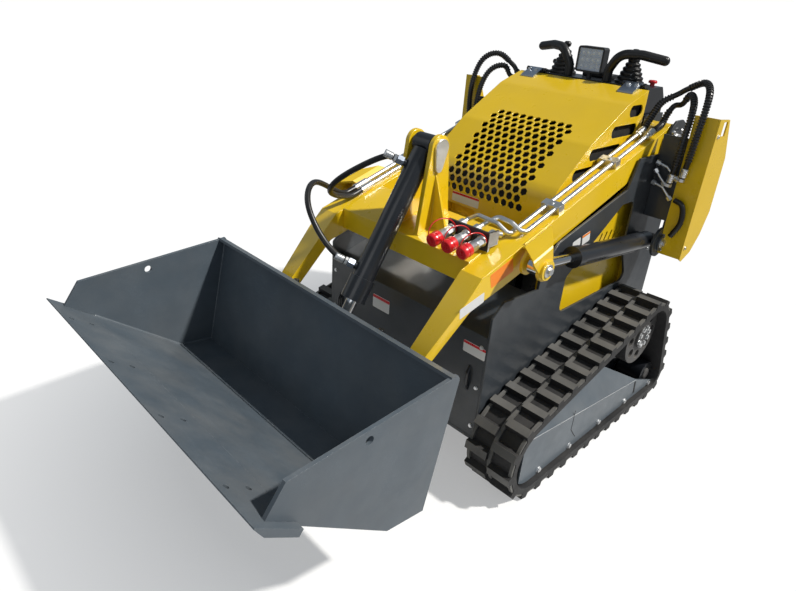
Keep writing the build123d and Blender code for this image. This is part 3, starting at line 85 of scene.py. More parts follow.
class Nodes:
    """Short way to fill a node tree: one call adds a node and joins its inputs."""

    def __init__(self, tree: bpy.types.NodeTree) -> None:
        """Keeps the tree that the nodes go into."""
        self.tree = tree

    def add(self, kind: str, inputs: Optional[dict] = None, **settings: object) -> bpy.types.Node:
        """Adds one node.

        Args:
            kind: Blender's name of the node type.
            inputs: socket name or number to a value or to another node's socket.
            settings: properties of the node.

        Returns:
            The new node.
        """
        node = self.tree.nodes.new(kind)
        for name, value in settings.items():
            setattr(node, name, value)
        for key, value in (inputs or {}).items():
            if isinstance(value, bpy.types.NodeSocket):
                self.tree.links.new(value, node.inputs[key])
            else:
                node.inputs[key].default_value = value
        return node

    def math(self, operation: str, *values: Value, clamp: bool = False) -> bpy.types.NodeSocket:
        """Result of one Math node on up to three values or sockets."""
        node = self.add("ShaderNodeMath", dict(enumerate(values)), operation=operation, use_clamp=clamp)
        return node.outputs[0]

    def mix(self, factor: Value, a: Value, b: Value) -> bpy.types.NodeSocket:
        """Colour between a and b by a factor.

        Args:
            factor: share of b.
            a: first colour.
            b: second colour.

        Returns:
            The colour's socket.
        """
        node = self.tree.nodes.new("ShaderNodeMix")
        node.data_type = "RGBA"
        for socket, value in zip((node.inputs[0], node.inputs[6], node.inputs[7]), (factor, a, b)):
            if isinstance(value, bpy.types.NodeSocket):
                self.tree.links.new(value, socket)
            else:
                socket.default_value = value
        return node.outputs[2]

    def between(self, factor: Value, low: Value, high: Value, to_low: float = 0.0,
                to_high: float = 1.0) -> bpy.types.NodeSocket:
        """Factor mapped from low..high to to_low..to_high, kept inside that range."""
        values = {0: factor, 1: low, 2: high, 3: to_low, 4: to_high}
        return self.add("ShaderNodeMapRange", values).outputs[0]

    def noise(self, scale: Value, detail: float = 3.0, roughness: float = 0.55,
              where: Optional[bpy.types.NodeSocket] = None) -> bpy.types.NodeSocket:
        """Value of a noise on Object coordinates.

        Args:
            scale: how fine the noise is.
            detail: number of finer layers.
            roughness: strength of the finer layers.
            where: coordinates to use instead of Object ones.

        Returns:
            The value's socket.
        """
        if where is None:
            where = self.add("ShaderNodeTexCoord").outputs["Object"]
        values = {"Vector": where, "Scale": scale, "Detail": detail, "Roughness": roughness}
        return self.add("ShaderNodeTexNoise", values).outputs[0]


def rgba(colour: Iterable[float]) -> tuple[float, float, float, float]:
    """Colour with full opacity, with no share above 1."""
    return (*(min(1.0, c) for c in colour), 1.0)


class Effect(Enum):
    """Effects that more than one material uses, each a shader node group."""

    EDGE_WEAR = "edge_wear"
    DUST = "dust"
    GRAIN = "grain"
    SCRATCHES = "scratches"


class EffectLibrary:
    """Builds each shader node group once and hands it out."""

    def __init__(self) -> None:
        """Builds all groups."""
        makers: dict[Effect, Callable[[], bpy.types.NodeTree]] = {
            Effect.EDGE_WEAR: self._edge_wear,
            Effect.DUST: self._dust,
            Effect.GRAIN: self._grain,
            Effect.SCRATCHES: self._scratches,
        }
        self.groups = {effect: make() for effect, make in makers.items()}

    @staticmethod
    def _start(name: str, inputs: dict[str, float], output: str) -> tuple[Nodes, bpy.types.Node, bpy.types.Node]:
        """Starts a group with named float inputs and one float output.

        Args:
            name: the group's name.
            inputs: input names with their default values.
            output: the name of its one output.

        Returns:
            The tree's helper, the group's input node and its output node.
        """
        tree = bpy.data.node_groups.new(name, "ShaderNodeTree")
        for key, value in inputs.items():
            socket = tree.interface.new_socket(key, in_out="INPUT", socket_type="NodeSocketFloat")
            socket.default_value = value
        tree.interface.new_socket(output, in_out="OUTPUT", socket_type="NodeSocketFloat")
        nodes = Nodes(tree)
        return nodes, nodes.add("NodeGroupInput"), nodes.add("NodeGroupOutput")

    @staticmethod
    def _mask(nodes: Nodes, a: bpy.types.NodeSocket, b: bpy.types.NodeSocket, given: bpy.types.Node,
              result: bpy.types.Node) -> bpy.types.NodeTree:
        """Puts out the product of two masks and the group's Amount, and returns the finished tree.

        Args:
            nodes: the group's nodes.
            a: first mask.
            b: second mask.
            given: the group's inputs.
            result: the group's outputs.

        Returns:
            The tree.
        """
        mask = nodes.math("MULTIPLY", nodes.math("MULTIPLY", a, b), given.outputs["Amount"], clamp=True)
        nodes.tree.links.new(mask, result.inputs["Mask"])
        return nodes.tree

    def _edge_wear(self) -> bpy.types.NodeTree:
        """Mask that is 1 on outer edges and breaks up along them.

        Returns:
            The group's tree.
        """
        nodes, given, result = self._start("edge_wear", {"Width": 0.002, "Breakup": 70.0, "Amount": 0.6}, "Mask")
        rounded = nodes.add("ShaderNodeBevel", {"Radius": given.outputs["Width"]}, samples=6)
        plain = nodes.add("ShaderNodeNewGeometry")
        dot = nodes.add("ShaderNodeVectorMath", {0: rounded.outputs[0], 1: plain.outputs["Normal"]},
                        operation="DOT_PRODUCT")
        turned = nodes.math("SUBTRACT", 1.0, dot.outputs["Value"])
        edge = nodes.between(turned, 0.02, 0.16)
        broken = nodes.between(nodes.noise(given.outputs["Breakup"], 5.0, 0.65), 0.42, 0.62)
        return self._mask(nodes, edge, broken, given, result)

    def _dust(self) -> bpy.types.NodeTree:
        """Mask of dry dust: patchy, and denser on what faces up.

        Returns:
            The group's tree.
        """
        nodes, given, result = self._start("dust", {"Scale": 6.0, "Amount": 0.3, "Upward": 0.7}, "Mask")
        facing = nodes.add("ShaderNodeSeparateXYZ", {0: nodes.add("ShaderNodeNewGeometry").outputs["Normal"]})
        up = nodes.between(facing.outputs["Z"], -0.2, 0.9)
        share = nodes.math("ADD", nodes.math("MULTIPLY", up, given.outputs["Upward"]),
                           nodes.math("SUBTRACT", 1.0, given.outputs["Upward"]))
        patches = nodes.between(nodes.noise(given.outputs["Scale"], 6.0, 0.6), 0.38, 0.72)
        return self._mask(nodes, patches, share, given, result)

    def _grain(self) -> bpy.types.NodeTree:
        """Height of a fine grain over a slow waviness, as in sprayed paint or moulded rubber.

        Returns:
            The group's tree.
        """
        nodes, given, result = self._start("grain", {"Fine": 900.0, "Wave": 9.0, "Share": 0.5}, "Height")
        fine = nodes.noise(given.outputs["Fine"], 2.0)
        wave = nodes.noise(given.outputs["Wave"], 2.0)
        mixed = nodes.add("ShaderNodeMix", {0: given.outputs["Share"], 2: fine, 3: wave})
        nodes.tree.links.new(mixed.outputs[0], result.inputs["Height"])
        return nodes.tree

    def _scratches(self) -> bpy.types.NodeTree:
        """Mask of thin scratches that run mostly one way.

        Returns:
            The group's tree.
        """
        nodes, given, result = self._start("scratches", {"Scale": 14.0, "Amount": 0.5}, "Mask")
        where = nodes.add("ShaderNodeTexCoord").outputs["Object"]
        stretched = nodes.add("ShaderNodeVectorMath", {0: where, 1: (0.35, 2.6, 2.6)}, operation="MULTIPLY")
        scale = nodes.math("MULTIPLY", given.outputs["Scale"], 3.0)
        lines = nodes.noise(scale, 4.0, 0.7, stretched.outputs[0])
        ridge = nodes.math("ABSOLUTE", nodes.math("SUBTRACT", lines, 0.5))
        thin = nodes.between(ridge, 0.012, 0.0)
        place = nodes.between(nodes.noise(given.outputs["Scale"], 3.0), 0.5, 0.62)
        return self._mask(nodes, thin, place, given, result)

    def use(self, nodes: Nodes, effect: Effect, **values: float) -> bpy.types.NodeSocket:
        """Places a group in a material with its own values and returns its output.

        Args:
            nodes: the material's nodes.
            effect: the group to place.
            values: values for the group's inputs.

        Returns:
            The group's output.
        """
        node = nodes.add("ShaderNodeGroup", node_tree=self.groups[effect])
        for name, value in values.items():
            node.inputs[name].default_value = value
        return node.outputs[0]


@dataclass(frozen=True)
class Finish:
    """A surface of one colour with dust, worn edges and grain.

    A worn colour of None leaves the edges whole, and bump is the depth of the grain in metres.
    """

    name: str
    colour: Colour
    slot: str
    roughness: float = 0.4
    metallic: float = 0.0
    coat: float = 0.0
    worn: Optional[Colour] = None
    wear: float = 0.5
    wear_width: float = 0.0016
    dust: float = 0.12
    dust_colour: Colour = (0.36, 0.33, 0.29)
    variation: float = 0.06
    fine: float = 700.0
    wave: float = 8.0
    bump: float = 0.00005
    scratches: float = 0.0

    def material(self, effects: EffectLibrary) -> bpy.types.Material:
        """Builds the material.

        Args:
            effects: the shader groups that it places.

        Returns:
            The new material.
        """
        made = bpy.data.materials.new(self.name)
        made.use_nodes = True
        made.diffuse_color = rgba(self.colour)
        nodes = Nodes(made.node_tree)
        shader = made.node_tree.nodes["Principled BSDF"]
        shader.inputs["Metallic"].default_value = self.metallic
        shader.inputs["Coat Weight"].default_value = self.coat
        shader.inputs["Coat Roughness"].default_value = 0.12
        shade = nodes.noise(5.0, 4.0)
        dark, light = (rgba(c * (1.0 + way * self.variation) for c in self.colour) for way in (-1, 1))
        colour = nodes.mix(nodes.between(shade, 0.35, 0.65), dark, light)
        rough = nodes.between(nodes.noise(22.0, 5.0), 0.3, 0.7, self.roughness * 0.85,
                              min(1.0, self.roughness * 1.18))
        dusty = effects.use(nodes, Effect.DUST, Scale=7.0, Amount=self.dust, Upward=0.7)
        colour = nodes.mix(dusty, colour, rgba(self.dust_colour))
        rough = nodes.math("ADD", rough, nodes.math("MULTIPLY", dusty, 0.35), clamp=True)
        if self.scratches:
            marks = effects.use(nodes, Effect.SCRATCHES, Scale=10.0, Amount=self.scratches)
            colour = nodes.mix(marks, colour, rgba(c * 1.6 + 0.05 for c in self.colour))
        if self.worn is not None:
            edge = effects.use(nodes, Effect.EDGE_WEAR, Width=self.wear_width, Breakup=70.0, Amount=self.wear)
            colour = nodes.mix(edge, colour, rgba(self.worn))
        nodes.tree.links.new(colour, shader.inputs["Base Color"])
        nodes.tree.links.new(rough, shader.inputs["Roughness"])
        height = effects.use(nodes, Effect.GRAIN, Fine=self.fine, Wave=self.wave, Share=0.35)
        bump = nodes.add("ShaderNodeBump", {"Height": height, "Strength": 1.0, "Distance": self.bump})
        nodes.tree.links.new(bump.outputs[0], shader.inputs["Normal"])
        return made


@dataclass(frozen=True)
class GlassFinish:
    """Clear glass or plastic with faint dust."""

    name: str
    colour: Colour
    slot: str
    roughness: float = 0.03
    alpha: float = 0.22

    def material(self, effects: EffectLibrary) -> bpy.types.Material:
        """Builds the material from the shader groups.

        Args:
            effects: the shader groups that it places.

        Returns:
            The new material.
        """
        made = bpy.data.materials.new(self.name)
        made.use_nodes = True
        nodes = Nodes(made.node_tree)
        shader = made.node_tree.nodes["Principled BSDF"]
        shader.inputs["Alpha"].default_value = self.alpha
        dusty = effects.use(nodes, Effect.DUST, Scale=40.0, Amount=0.15, Upward=0.3)
        colour = nodes.mix(dusty, rgba(self.colour), rgba((0.6, 0.6, 0.58)))
        nodes.tree.links.new(colour, shader.inputs["Base Color"])
        rough = nodes.math("ADD", nodes.math("MULTIPLY", dusty, 0.4), self.roughness)
        nodes.tree.links.new(rough, shader.inputs["Roughness"])
        return made


class Finishes:
    """All finishes of the loader, with each material built when it is first asked for."""

    YELLOW = Finish("yellow_paint", (0.82, 0.54, 0.008), "body_yellow", 0.3, coat=0.5,
                    worn=(0.95, 0.8, 0.25), wear=0.35, dust=0.05, variation=0.03, scratches=0.1)
    BLACK = Finish("black_paint", (0.009, 0.011, 0.015), "frame_black", 0.3, coat=0.4,
                   worn=(0.12, 0.12, 0.12), wear=0.4, dust=0.03, variation=0.15)
    FRAME = Finish("frame_slate", (0.032, 0.038, 0.045), "frame_black", 0.38, coat=0.25,
                   worn=(0.16, 0.17, 0.18), wear=0.5, dust=0.08, variation=0.15, scratches=0.15)
    GREY = Finish("slate_paint", (0.078, 0.098, 0.118), "bucket_grey", 0.42, coat=0.15,
                  worn=(0.36, 0.38, 0.39), wear=0.6, dust=0.16, variation=0.08, scratches=0.35)
    ROD = Finish("chrome_rod", (0.72, 0.73, 0.75), "rod_chrome", 0.1, metallic=1.0, dust=0.04, variation=0.02,
                 bump=0.00001)
    ZINC = Finish("zinc_plate", (0.78, 0.79, 0.80), "zinc_steel", 0.36, metallic=1.0, dust=0.12, variation=0.1)
    RUBBER = Finish("track_rubber", (0.012, 0.012, 0.013), "rubber_black", 0.62, dust=0.25, variation=0.2,
                    dust_colour=(0.16, 0.15, 0.14), bump=0.0002, fine=260.0)
    GRIP = Finish("grip_rubber", (0.008, 0.008, 0.009), "rubber_black", 0.36, dust=0.03, variation=0.1,
                  fine=500.0, bump=0.0001)
    CAST = Finish("cast_wheels", (0.03, 0.03, 0.032), "wheel_black", 0.5, worn=(0.2, 0.2, 0.2), dust=0.35,
                  variation=0.15, bump=0.0002, fine=300.0)
    RED = Finish("red_caps", (0.68, 0.012, 0.018), "cap_red", 0.28, coat=0.3, dust=0.04, variation=0.06)
    LAMP = Finish("lamp_casting", (0.03, 0.032, 0.036), "lamp_body", 0.42, metallic=0.3, dust=0.1)
    HOSE = Finish("hose_cover", (0.008, 0.008, 0.009), "rubber_black", 0.34, dust=0.06, variation=0.15,
                  fine=900.0, bump=0.0001)
    WHITE = Finish("blank_white_label", (0.8, 0.8, 0.79), "body_yellow", 0.35, dust=0.06, variation=0.02)
    ORANGE = Finish("blank_orange_label", (0.9, 0.25, 0.02), "body_yellow", 0.35, dust=0.05, variation=0.02)
    TREAD = Finish("worn_tread", (0.11, 0.108, 0.102), "rubber_black", 0.6, dust=0.4, variation=0.25,
                   dust_colour=(0.2, 0.185, 0.165), bump=0.0003, fine=220.0)
    GUARD = Finish("hose_guard", (0.03, 0.03, 0.033), "rubber_black", 0.25, dust=0.1, variation=0.1)
    SCREEN = Finish("dark_screen", (0.008, 0.008, 0.009), "frame_black", 0.8, dust=0.05, variation=0.1)
    SILVER = Finish("lamp_reflector", (0.62, 0.68, 0.78), "rod_chrome", 0.32, metallic=1.0, dust=0.0,
                    variation=0.02)
    CHIP = Finish("lamp_chip", (0.78, 0.85, 0.95), "lamp_glass", 0.15, coat=0.6, dust=0.0, variation=0.02)
    BLUE_ZINC = Finish("blue_zinc", (0.5, 0.56, 0.66), "zinc_steel", 0.28, metallic=1.0, dust=0.08,
                       variation=0.1)
    GLASS = GlassFinish("lamp_glass", (0.7, 0.8, 0.95), "lamp_glass", alpha=0.28)

    def __init__(self) -> None:
        """Builds the shader groups."""
        self.effects = EffectLibrary()
        self.made: dict[str, bpy.types.Material] = {}

    def get(self, finish: Finish | GlassFinish) -> bpy.types.Material:
        """Material of a finish.

        Args:
            finish: the finish.

        Returns:
            Its material, made at the first call.
        """
        if finish.name not in self.made:
            self.made[finish.name] = finish.material(self.effects)
        return self.made[finish.name]

    def dress(self, piece: bpy.types.Object, finish: Finish | GlassFinish) -> bpy.types.Object:
        """Gives a piece one finish all over.

        Args:
            piece: the piece.
            finish: its finish.

        Returns:
            The same piece.
        """
        piece.data.materials.clear()
        piece.data.materials.append(self.get(finish))
        return piece

    def seat(self, name: str, mesh: bpy.types.Mesh, finish: Finish, body: str) -> bpy.types.Object:
        """Makes a piece of a finished mesh.

        Args:
            name: the piece's name.
            mesh: its mesh, in place.
            finish: its finish.
            body: the CAD body that it rides on.

        Returns:
            The piece.
        """
        piece = self.dress(link(name, mesh), finish)
        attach(piece, body)
        log.info("%s on %s", name, body)
        return piece


@dataclass(frozen=True)
class Look:
    """Finish of a CAD node and the width of its rounded edges, in metres."""

    finish: Finish | GlassFinish
    edge: float = 0.0012


def body_of(node: str) -> str:
    """Name of the CAD body that holds a node."""
    return next(b for b, names in frame["record"]["behaviour"]["bodies"].items() if node in names)


def link(name: str, data: bpy.types.ID) -> bpy.types.Object:
    """New object at the origin that holds a mesh, a lamp or a camera.

    Args:
        name: the object's name.
        data: what it holds.

    Returns:
        The new object.
    """
    piece = bpy.data.objects.new(name, data)
    bpy.context.scene.collection.objects.link(piece)
    return piece


def flattened(piece: bpy.types.Object) -> bpy.types.Object:
    """Replaces a piece by the plain mesh of its modifiers, at the origin.

    Args:
        piece: the piece with its modifiers.

    Returns:
        The same piece with its plain mesh.
    """
    bpy.context.view_layer.update()
    graph = bpy.context.evaluated_depsgraph_get()
    mesh = bpy.data.meshes.new_from_object(piece.evaluated_get(graph), depsgraph=graph)
    mesh.transform(piece.matrix_world)
    name = piece.name
    bpy.data.objects.remove(piece)
    return link(name, mesh)


@dataclass(frozen=True)
class Spot:
    """Place of one repeated piece: its point, the way it faces, a second way along it, and its size."""

    at: Vector
    facing: Vector = Vector((0, 0, 1))
    along: Vector = Vector((1, 0, 0))
    size: float = 1.0


class Shapes:
    """Small meshes that the repeats place, drawn in millimetres about the origin and facing +Z."""

    @staticmethod
    def lathe(profile: Sequence[tuple[float, float]], sides: int = 24) -> bpy.types.Mesh:
        """Turns a profile about the Z axis.

        Args:
            profile: points (radius, height) from one end of the axis to the other.
            sides: number of sides of the round.

        Returns:
            The closed mesh.
        """
        points: list[Vector] = []
        rings: list[list[int]] = []
        for r, z in profile:
            count = sides if r > 1e-6 else 1
            start = len(points)
            for k in range(count):
                turn = 2 * math.pi * k / sides
                points.append(mm(r * math.cos(turn), r * math.sin(turn), z))
            rings.append([start + k % count for k in range(sides)])
        faces = []
        for low, high in zip(rings, rings[1:]):
            for k in range(sides):
                face = [low[k], low[(k + 1) % sides], high[(k + 1) % sides], high[k]]
                face = list(dict.fromkeys(face))
                if len(face) > 2:
                    faces.append(face)
        for ring, turned in ((rings[0], True), (rings[-1], False)):
            if len(set(ring)) > 1:
                faces.append(ring[::-1] if turned else ring)
        return Shapes.smoothed(points, faces)

    @staticmethod
    def smoothed(points: Sequence[Vector], faces: Sequence[Sequence[int]], angle: float = 40.0) -> bpy.types.Mesh:
        """Mesh that faces outwards and is smooth except across edges sharper than an angle in degrees.

        Args:
            points: the corners.
            faces: corner numbers of each face.
            angle: edges sharper than this stay sharp.

        Returns:
            The new mesh.
        """
        mesh = bpy.data.meshes.new("shape")
        mesh.from_pydata([tuple(p) for p in points], [], [tuple(f) for f in faces])
        work = bmesh.new()
        work.from_mesh(mesh)
        if work.calc_volume(signed=True) < 0:
            mesh.flip_normals()
        work.free()
        mesh.shade_smooth()
        mesh.set_sharp_from_angle(angle=math.radians(angle))
        return mesh

    @staticmethod
    def prism(outline: Sequence[tuple[float, float]], low: float, high: float) -> bpy.types.Mesh:
        """Closed prism over an outline in the XY plane.

        Args:
            outline: corners (x, y) in order.
            low: height of the lower face.
            high: height of the upper face.

        Returns:
            The new mesh.
        """
        count = len(outline)
        points = [mm(x, y, z) for z in (low, high) for x, y in outline]
        faces = [[k, (k + 1) % count, count + (k + 1) % count, count + k] for k in range(count)]
        faces += [list(range(count))[::-1], list(range(count, 2 * count))]
        return Shapes.smoothed(points, faces)

    @staticmethod
    def joined(parts: Sequence[bpy.types.Mesh]) -> bpy.types.Mesh:
        """One mesh out of several.

        Args:
            parts: the meshes.

        Returns:
            The new mesh.
        """
        work = bmesh.new()
        for part in parts:
            work.from_mesh(part)
            bpy.data.meshes.remove(part)
        mesh = bpy.data.meshes.new("shape")
        work.to_mesh(mesh)
        work.free()
        return mesh

    @staticmethod
    def hexagon(radius: float) -> list[tuple[float, float]]:
        """Corners of a hexagon."""
        return [(radius * math.cos(k * math.pi / 3), radius * math.sin(k * math.pi / 3)) for k in range(6)]

    @staticmethod
    def bolt(thread: float = 8.0) -> bpy.types.Mesh:
        """Hexagon bolt head on its washer, for a thread of that size.

        Args:
            thread: the thread's diameter in millimetres.

        Returns:
            The new mesh.
        """
        washer = Shapes.lathe([(0, -1), (thread * 1.05, -1), (thread * 1.05, 1.1), (0, 1.1)], 24)
        head = Shapes.prism(Shapes.hexagon(thread * 0.93), 1.1, thread * 0.6)
        top = thread * 0.6
        crown = Shapes.lathe([(thread * 0.78, top - 0.1), (thread * 0.72, top + 0.5), (0, top + 0.5)], 18)
        return Shapes.joined([washer, head, crown])

    @staticmethod
    def nut(radius: float, length: float) -> bpy.types.Mesh:
        """Hexagon nut with a collar at each end.

        Args:
            radius: distance of its corners from the axis.
            length: its length along the hose.

        Returns:
            The new mesh.
        """
        collar = radius * 0.86
        body = Shapes.prism(Shapes.hexagon(radius), 0.8, length - 0.8)
        ring = Shapes.lathe([(0, 0), (collar, 0), (collar, length), (0, length)], 24)
        return Shapes.joined([body, ring])

    @staticmethod
    def ferrule(radius: float, length: float) -> bpy.types.Mesh:
        """Crimped sleeve at a hose's end, with its nut.

        Args:
            radius: the sleeve's radius.
            length: its whole length.

        Returns:
            The new mesh.
        """
        profile = [(0, 0), (radius * 0.9, 0)]
        crimps, neck = 4, radius * 0.93
        step = length * 0.62 / crimps
        for k in range(crimps):
            z = length * 0.04 + step * k
            profile += [(radius, z), (radius, z + step * 0.55), (neck, z + step * 0.7), (neck, z + step * 0.9)]
        profile += [(radius * 0.72, length * 0.7), (radius * 0.72, length), (0, length)]
        sleeve = Shapes.lathe(profile, 24)
        nut = Shapes.prism(Shapes.hexagon(radius * 1.02), length * 0.76, length * 0.98)
        return Shapes.joined([sleeve, nut])


class Repeats:
    """Puts copies of one shape at many spots with a geometry node group."""

    def __init__(self, finishes: Finishes) -> None:
        """Builds the group.

        Args:
            finishes: the finishes that its pieces wear.
        """
        self.finishes = finishes
        tree = bpy.data.node_groups.new("repeats", "GeometryNodeTree")
        tree.is_modifier = True
        face = tree.interface
        face.new_socket("Geometry", in_out="OUTPUT", socket_type="NodeSocketGeometry")
        self.sockets = {}
        for name, kind in (("Geometry", "Geometry"), ("Shape", "Object"), ("Finish", "Material"),
                           ("Spin", "Float"), ("Seed", "Int")):
            made = face.new_socket(name, in_out="INPUT", socket_type=f"NodeSocket{kind}")
            self.sockets[name] = made.identifier
        nodes = Nodes(tree)
        given = nodes.add("NodeGroupInput").outputs
        facing, along, size = (
            nodes.add("GeometryNodeInputNamedAttribute", {"Name": name}, data_type=kind)
            for name, kind in (("facing", "FLOAT_VECTOR"), ("along", "FLOAT_VECTOR"), ("size", "FLOAT")))
        up = nodes.add("FunctionNodeAlignRotationToVector", {"Vector": facing.outputs[0]}, axis="Z")
        way = nodes.add("FunctionNodeAlignRotationToVector",
                        {"Rotation": up.outputs[0], "Vector": along.outputs[0]}, axis="X", pivot_axis="Z")
        chance = nodes.add("FunctionNodeRandomValue", {"Seed": given["Seed"]}, data_type="FLOAT")
        nodes.tree.links.new(given["Spin"], chance.inputs[3])
        turn = nodes.add("ShaderNodeCombineXYZ", {2: chance.outputs[1]})
        euler = nodes.add("FunctionNodeEulerToRotation", {0: turn.outputs[0]})
        spun = nodes.add("FunctionNodeRotateRotation", {0: way.outputs[0], 1: euler.outputs[0]},
                         rotation_space="LOCAL")
        shape = nodes.add("GeometryNodeObjectInfo", {"Object": given["Shape"]})
        copies = nodes.add("GeometryNodeInstanceOnPoints",
                           {"Points": given["Geometry"], "Instance": shape.outputs["Geometry"],
                            "Rotation": spun.outputs[0], "Scale": size.outputs[0]})
        real = nodes.add("GeometryNodeRealizeInstances", {0: copies.outputs[0]})
        dressed = nodes.add("GeometryNodeSetMaterial", {"Geometry": real.outputs[0], "Material": given["Finish"]})
        nodes.add("NodeGroupOutput", {0: dressed.outputs[0]})
        self.tree = tree

    def place(self, name: str, body: str, shape: bpy.types.Mesh, finish: Finish, spots: Iterable[Spot],
              spin: float = 0.0, seed: int = 3) -> bpy.types.Object:
        """Makes one piece of all the copies.

        Args:
            name: the piece's name.
            body: the CAD body that it rides on.
            shape: mesh of one copy.
            finish: finish of all copies.
            spots: where the copies go.
            spin: largest random turn of a copy about its facing, in radians.
            seed: seed of the random turns.

        Returns:
            The finished piece.
        """
        spots = list(spots)
        mesh = bpy.data.meshes.new(name)
        mesh.from_pydata([tuple(s.at) for s in spots], [], [])
        for key in ("facing", "along"):
            layer = mesh.attributes.new(key, "FLOAT_VECTOR", "POINT")
            layer.data.foreach_set("vector", [c for s in spots for c in getattr(s, key)])
        layer = mesh.attributes.new("size", "FLOAT", "POINT")
        layer.data.foreach_set("value", [s.size for s in spots])
        holder = link(name, mesh)
        source = link(f"{name}_shape", shape)
        modifier = holder.modifiers.new("repeats", "NODES")
        modifier.node_group = self.tree
        values = {"Shape": source, "Finish": self.finishes.get(finish), "Spin": spin, "Seed": seed}
        for key, value in values.items():
            modifier[self.sockets[key]] = value
        piece = flattened(holder)
        bpy.data.objects.remove(source)
        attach(piece, body)
        log.info("%s on %s, %d copies", name, body, len(spots))
        return piece


class Run:
    """Line of a hose or tube in millimetres; a plain one has straight runs joined by equal arcs."""

    def __init__(self, points: Sequence[Point]) -> None:
        """Works out the line from its corner points.

        Args:
            points: the corner points.
        """
        corners = [Vector(p) for p in points]
        turns = [(b - a).angle(c - b) for a, b, c in zip(corners, corners[1:], corners[2:])]
        reach = [0.45 * min((b - a).length, (c - b).length)
                 for a, b, c in zip(corners, corners[1:], corners[2:])]
        radius = min((r / math.tan(t / 2) for r, t in zip(reach, turns)), default=0.0)
        line = [corners[0]]
        for a, b, c, turn in zip(corners, corners[1:], corners[2:], turns):
            back, on = (a - b).normalized(), (c - b).normalized()
            cut = radius * math.tan(turn / 2)
            middle = b + (back + on).normalized() * (radius / math.cos(turn / 2))
            first, last = b + back * cut - middle, b + on * cut - middle
            steps = max(3, math.ceil(math.degrees(turn) / 9))
            for k in range(steps + 1):
                line.append(middle + first.slerp(last, k / steps))
        line.append(corners[-1])
        self.line = line

    @classmethod
    def smooth(cls, points: Sequence[Point], steps: int = 12) -> "Run":
        """B-spline near the corner points that keeps both ends and their ways.

        Args:
            points: the corner points.
            steps: number of short pieces for each span.

        Returns:
            The line.
        """
        corners = [Vector(p) for p in points]
        first = corners[0] + (corners[1] - corners[0]) / 3
        last = corners[-1] + (corners[-2] - corners[-1]) / 3
        held = [corners[0] * 2 - first, corners[0], first, *corners[1:-1], last, corners[-1], corners[-1] * 2 - last]
        made = cls.__new__(cls)
        made.line = []
        for i, (a, b, c, d) in enumerate(zip(held, held[1:], held[2:], held[3:])):
            for k in range(steps + (i == len(held) - 4)):
                t = k / steps
                weights = ((1 - t) ** 3, 3 * t**3 - 6 * t * t + 4, -3 * t**3 + 3 * t * t + 3 * t + 1, t**3)
                made.line.append(sum((w * v for w, v in zip(weights, (a, b, c, d))), Vector()) / 6)
        return made

    @classmethod
    def curve(cls, start: Point, leaving: Point, arriving: Point, end: Point, steps: int = 20) -> "Run":
        """Smooth line between two ends.

        Args:
            start: first point.
            leaving: control point after the start.
            arriving: control point before the end.
            end: last point.
            steps: number of short pieces.

        Returns:
            The line.
        """
        a, b, c, d = (Vector(p) for p in (start, leaving, arriving, end))
        made = cls.__new__(cls)
        made.line = []
        for k in range(steps + 1):
            t = k / steps
            u = 1 - t
            made.line.append(a * u**3 + b * 3 * u * u * t + c * 3 * u * t * t + d * t**3)
        return made

    def spots(self, pitch: float, start: float = 0.0, end: float = 0.0) -> list[Spot]:
        """Evenly spaced spots that face along the line.

        Args:
            pitch: distance between them in millimetres.
            start: length left out at the start.
            end: length left out at the end.

        Returns:
            The spots.
        """
        lengths = [(b - a).length for a, b in zip(self.line, self.line[1:])]
        total = sum(lengths)
        found = []
        count = max(1, int((total - start - end) / pitch))
        for k in range(count):
            rest = start + pitch * (k + 0.5)
            for (a, b), length in zip(zip(self.line, self.line[1:]), lengths):
                if rest <= length:
                    way = (b - a).normalized()
                    found.append(Spot((a + way * rest) * 0.001, way, way.orthogonal()))
                    break
                rest -= length
        return found

    def end(self, last: bool) -> tuple[Vector, Vector]:
        """End point in millimetres and the way that leads out of it."""
        a, b = (self.line[-2], self.line[-1]) if last else (self.line[1], self.line[0])
        return b, (b - a).normalized()

    def tube(self, radius: float, sides: int = 16) -> bpy.types.Mesh:
        """Closed round tube along the line.

        Args:
            radius: the tube's radius.
            sides: number of its flat sides.

        Returns:
            The new mesh.
        """
        points: list[Vector] = []
        faces: list[list[int]] = []
        side = (self.line[1] - self.line[0]).orthogonal().normalized()
        count = len(self.line)
        for i, at in enumerate(self.line):
            way = (self.line[min(i + 1, count - 1)] - self.line[max(i - 1, 0)]).normalized()
            side = (side - way * side.dot(way)).normalized()
            other = way.cross(side)
            for k in range(sides):
                turn = 2 * math.pi * k / sides
                points.append((at + side * radius * math.cos(turn) + other * radius * math.sin(turn)) * 0.001)
            if i:
                low, high = (i - 1) * sides, i * sides
                faces += [[low + k, low + (k + 1) % sides, high + (k + 1) % sides, high + k] for k in range(sides)]
        faces += [list(range(sides))[::-1], list(range(len(points) - sides, len(points)))]
        return Shapes.smoothed(points, faces, 60.0)


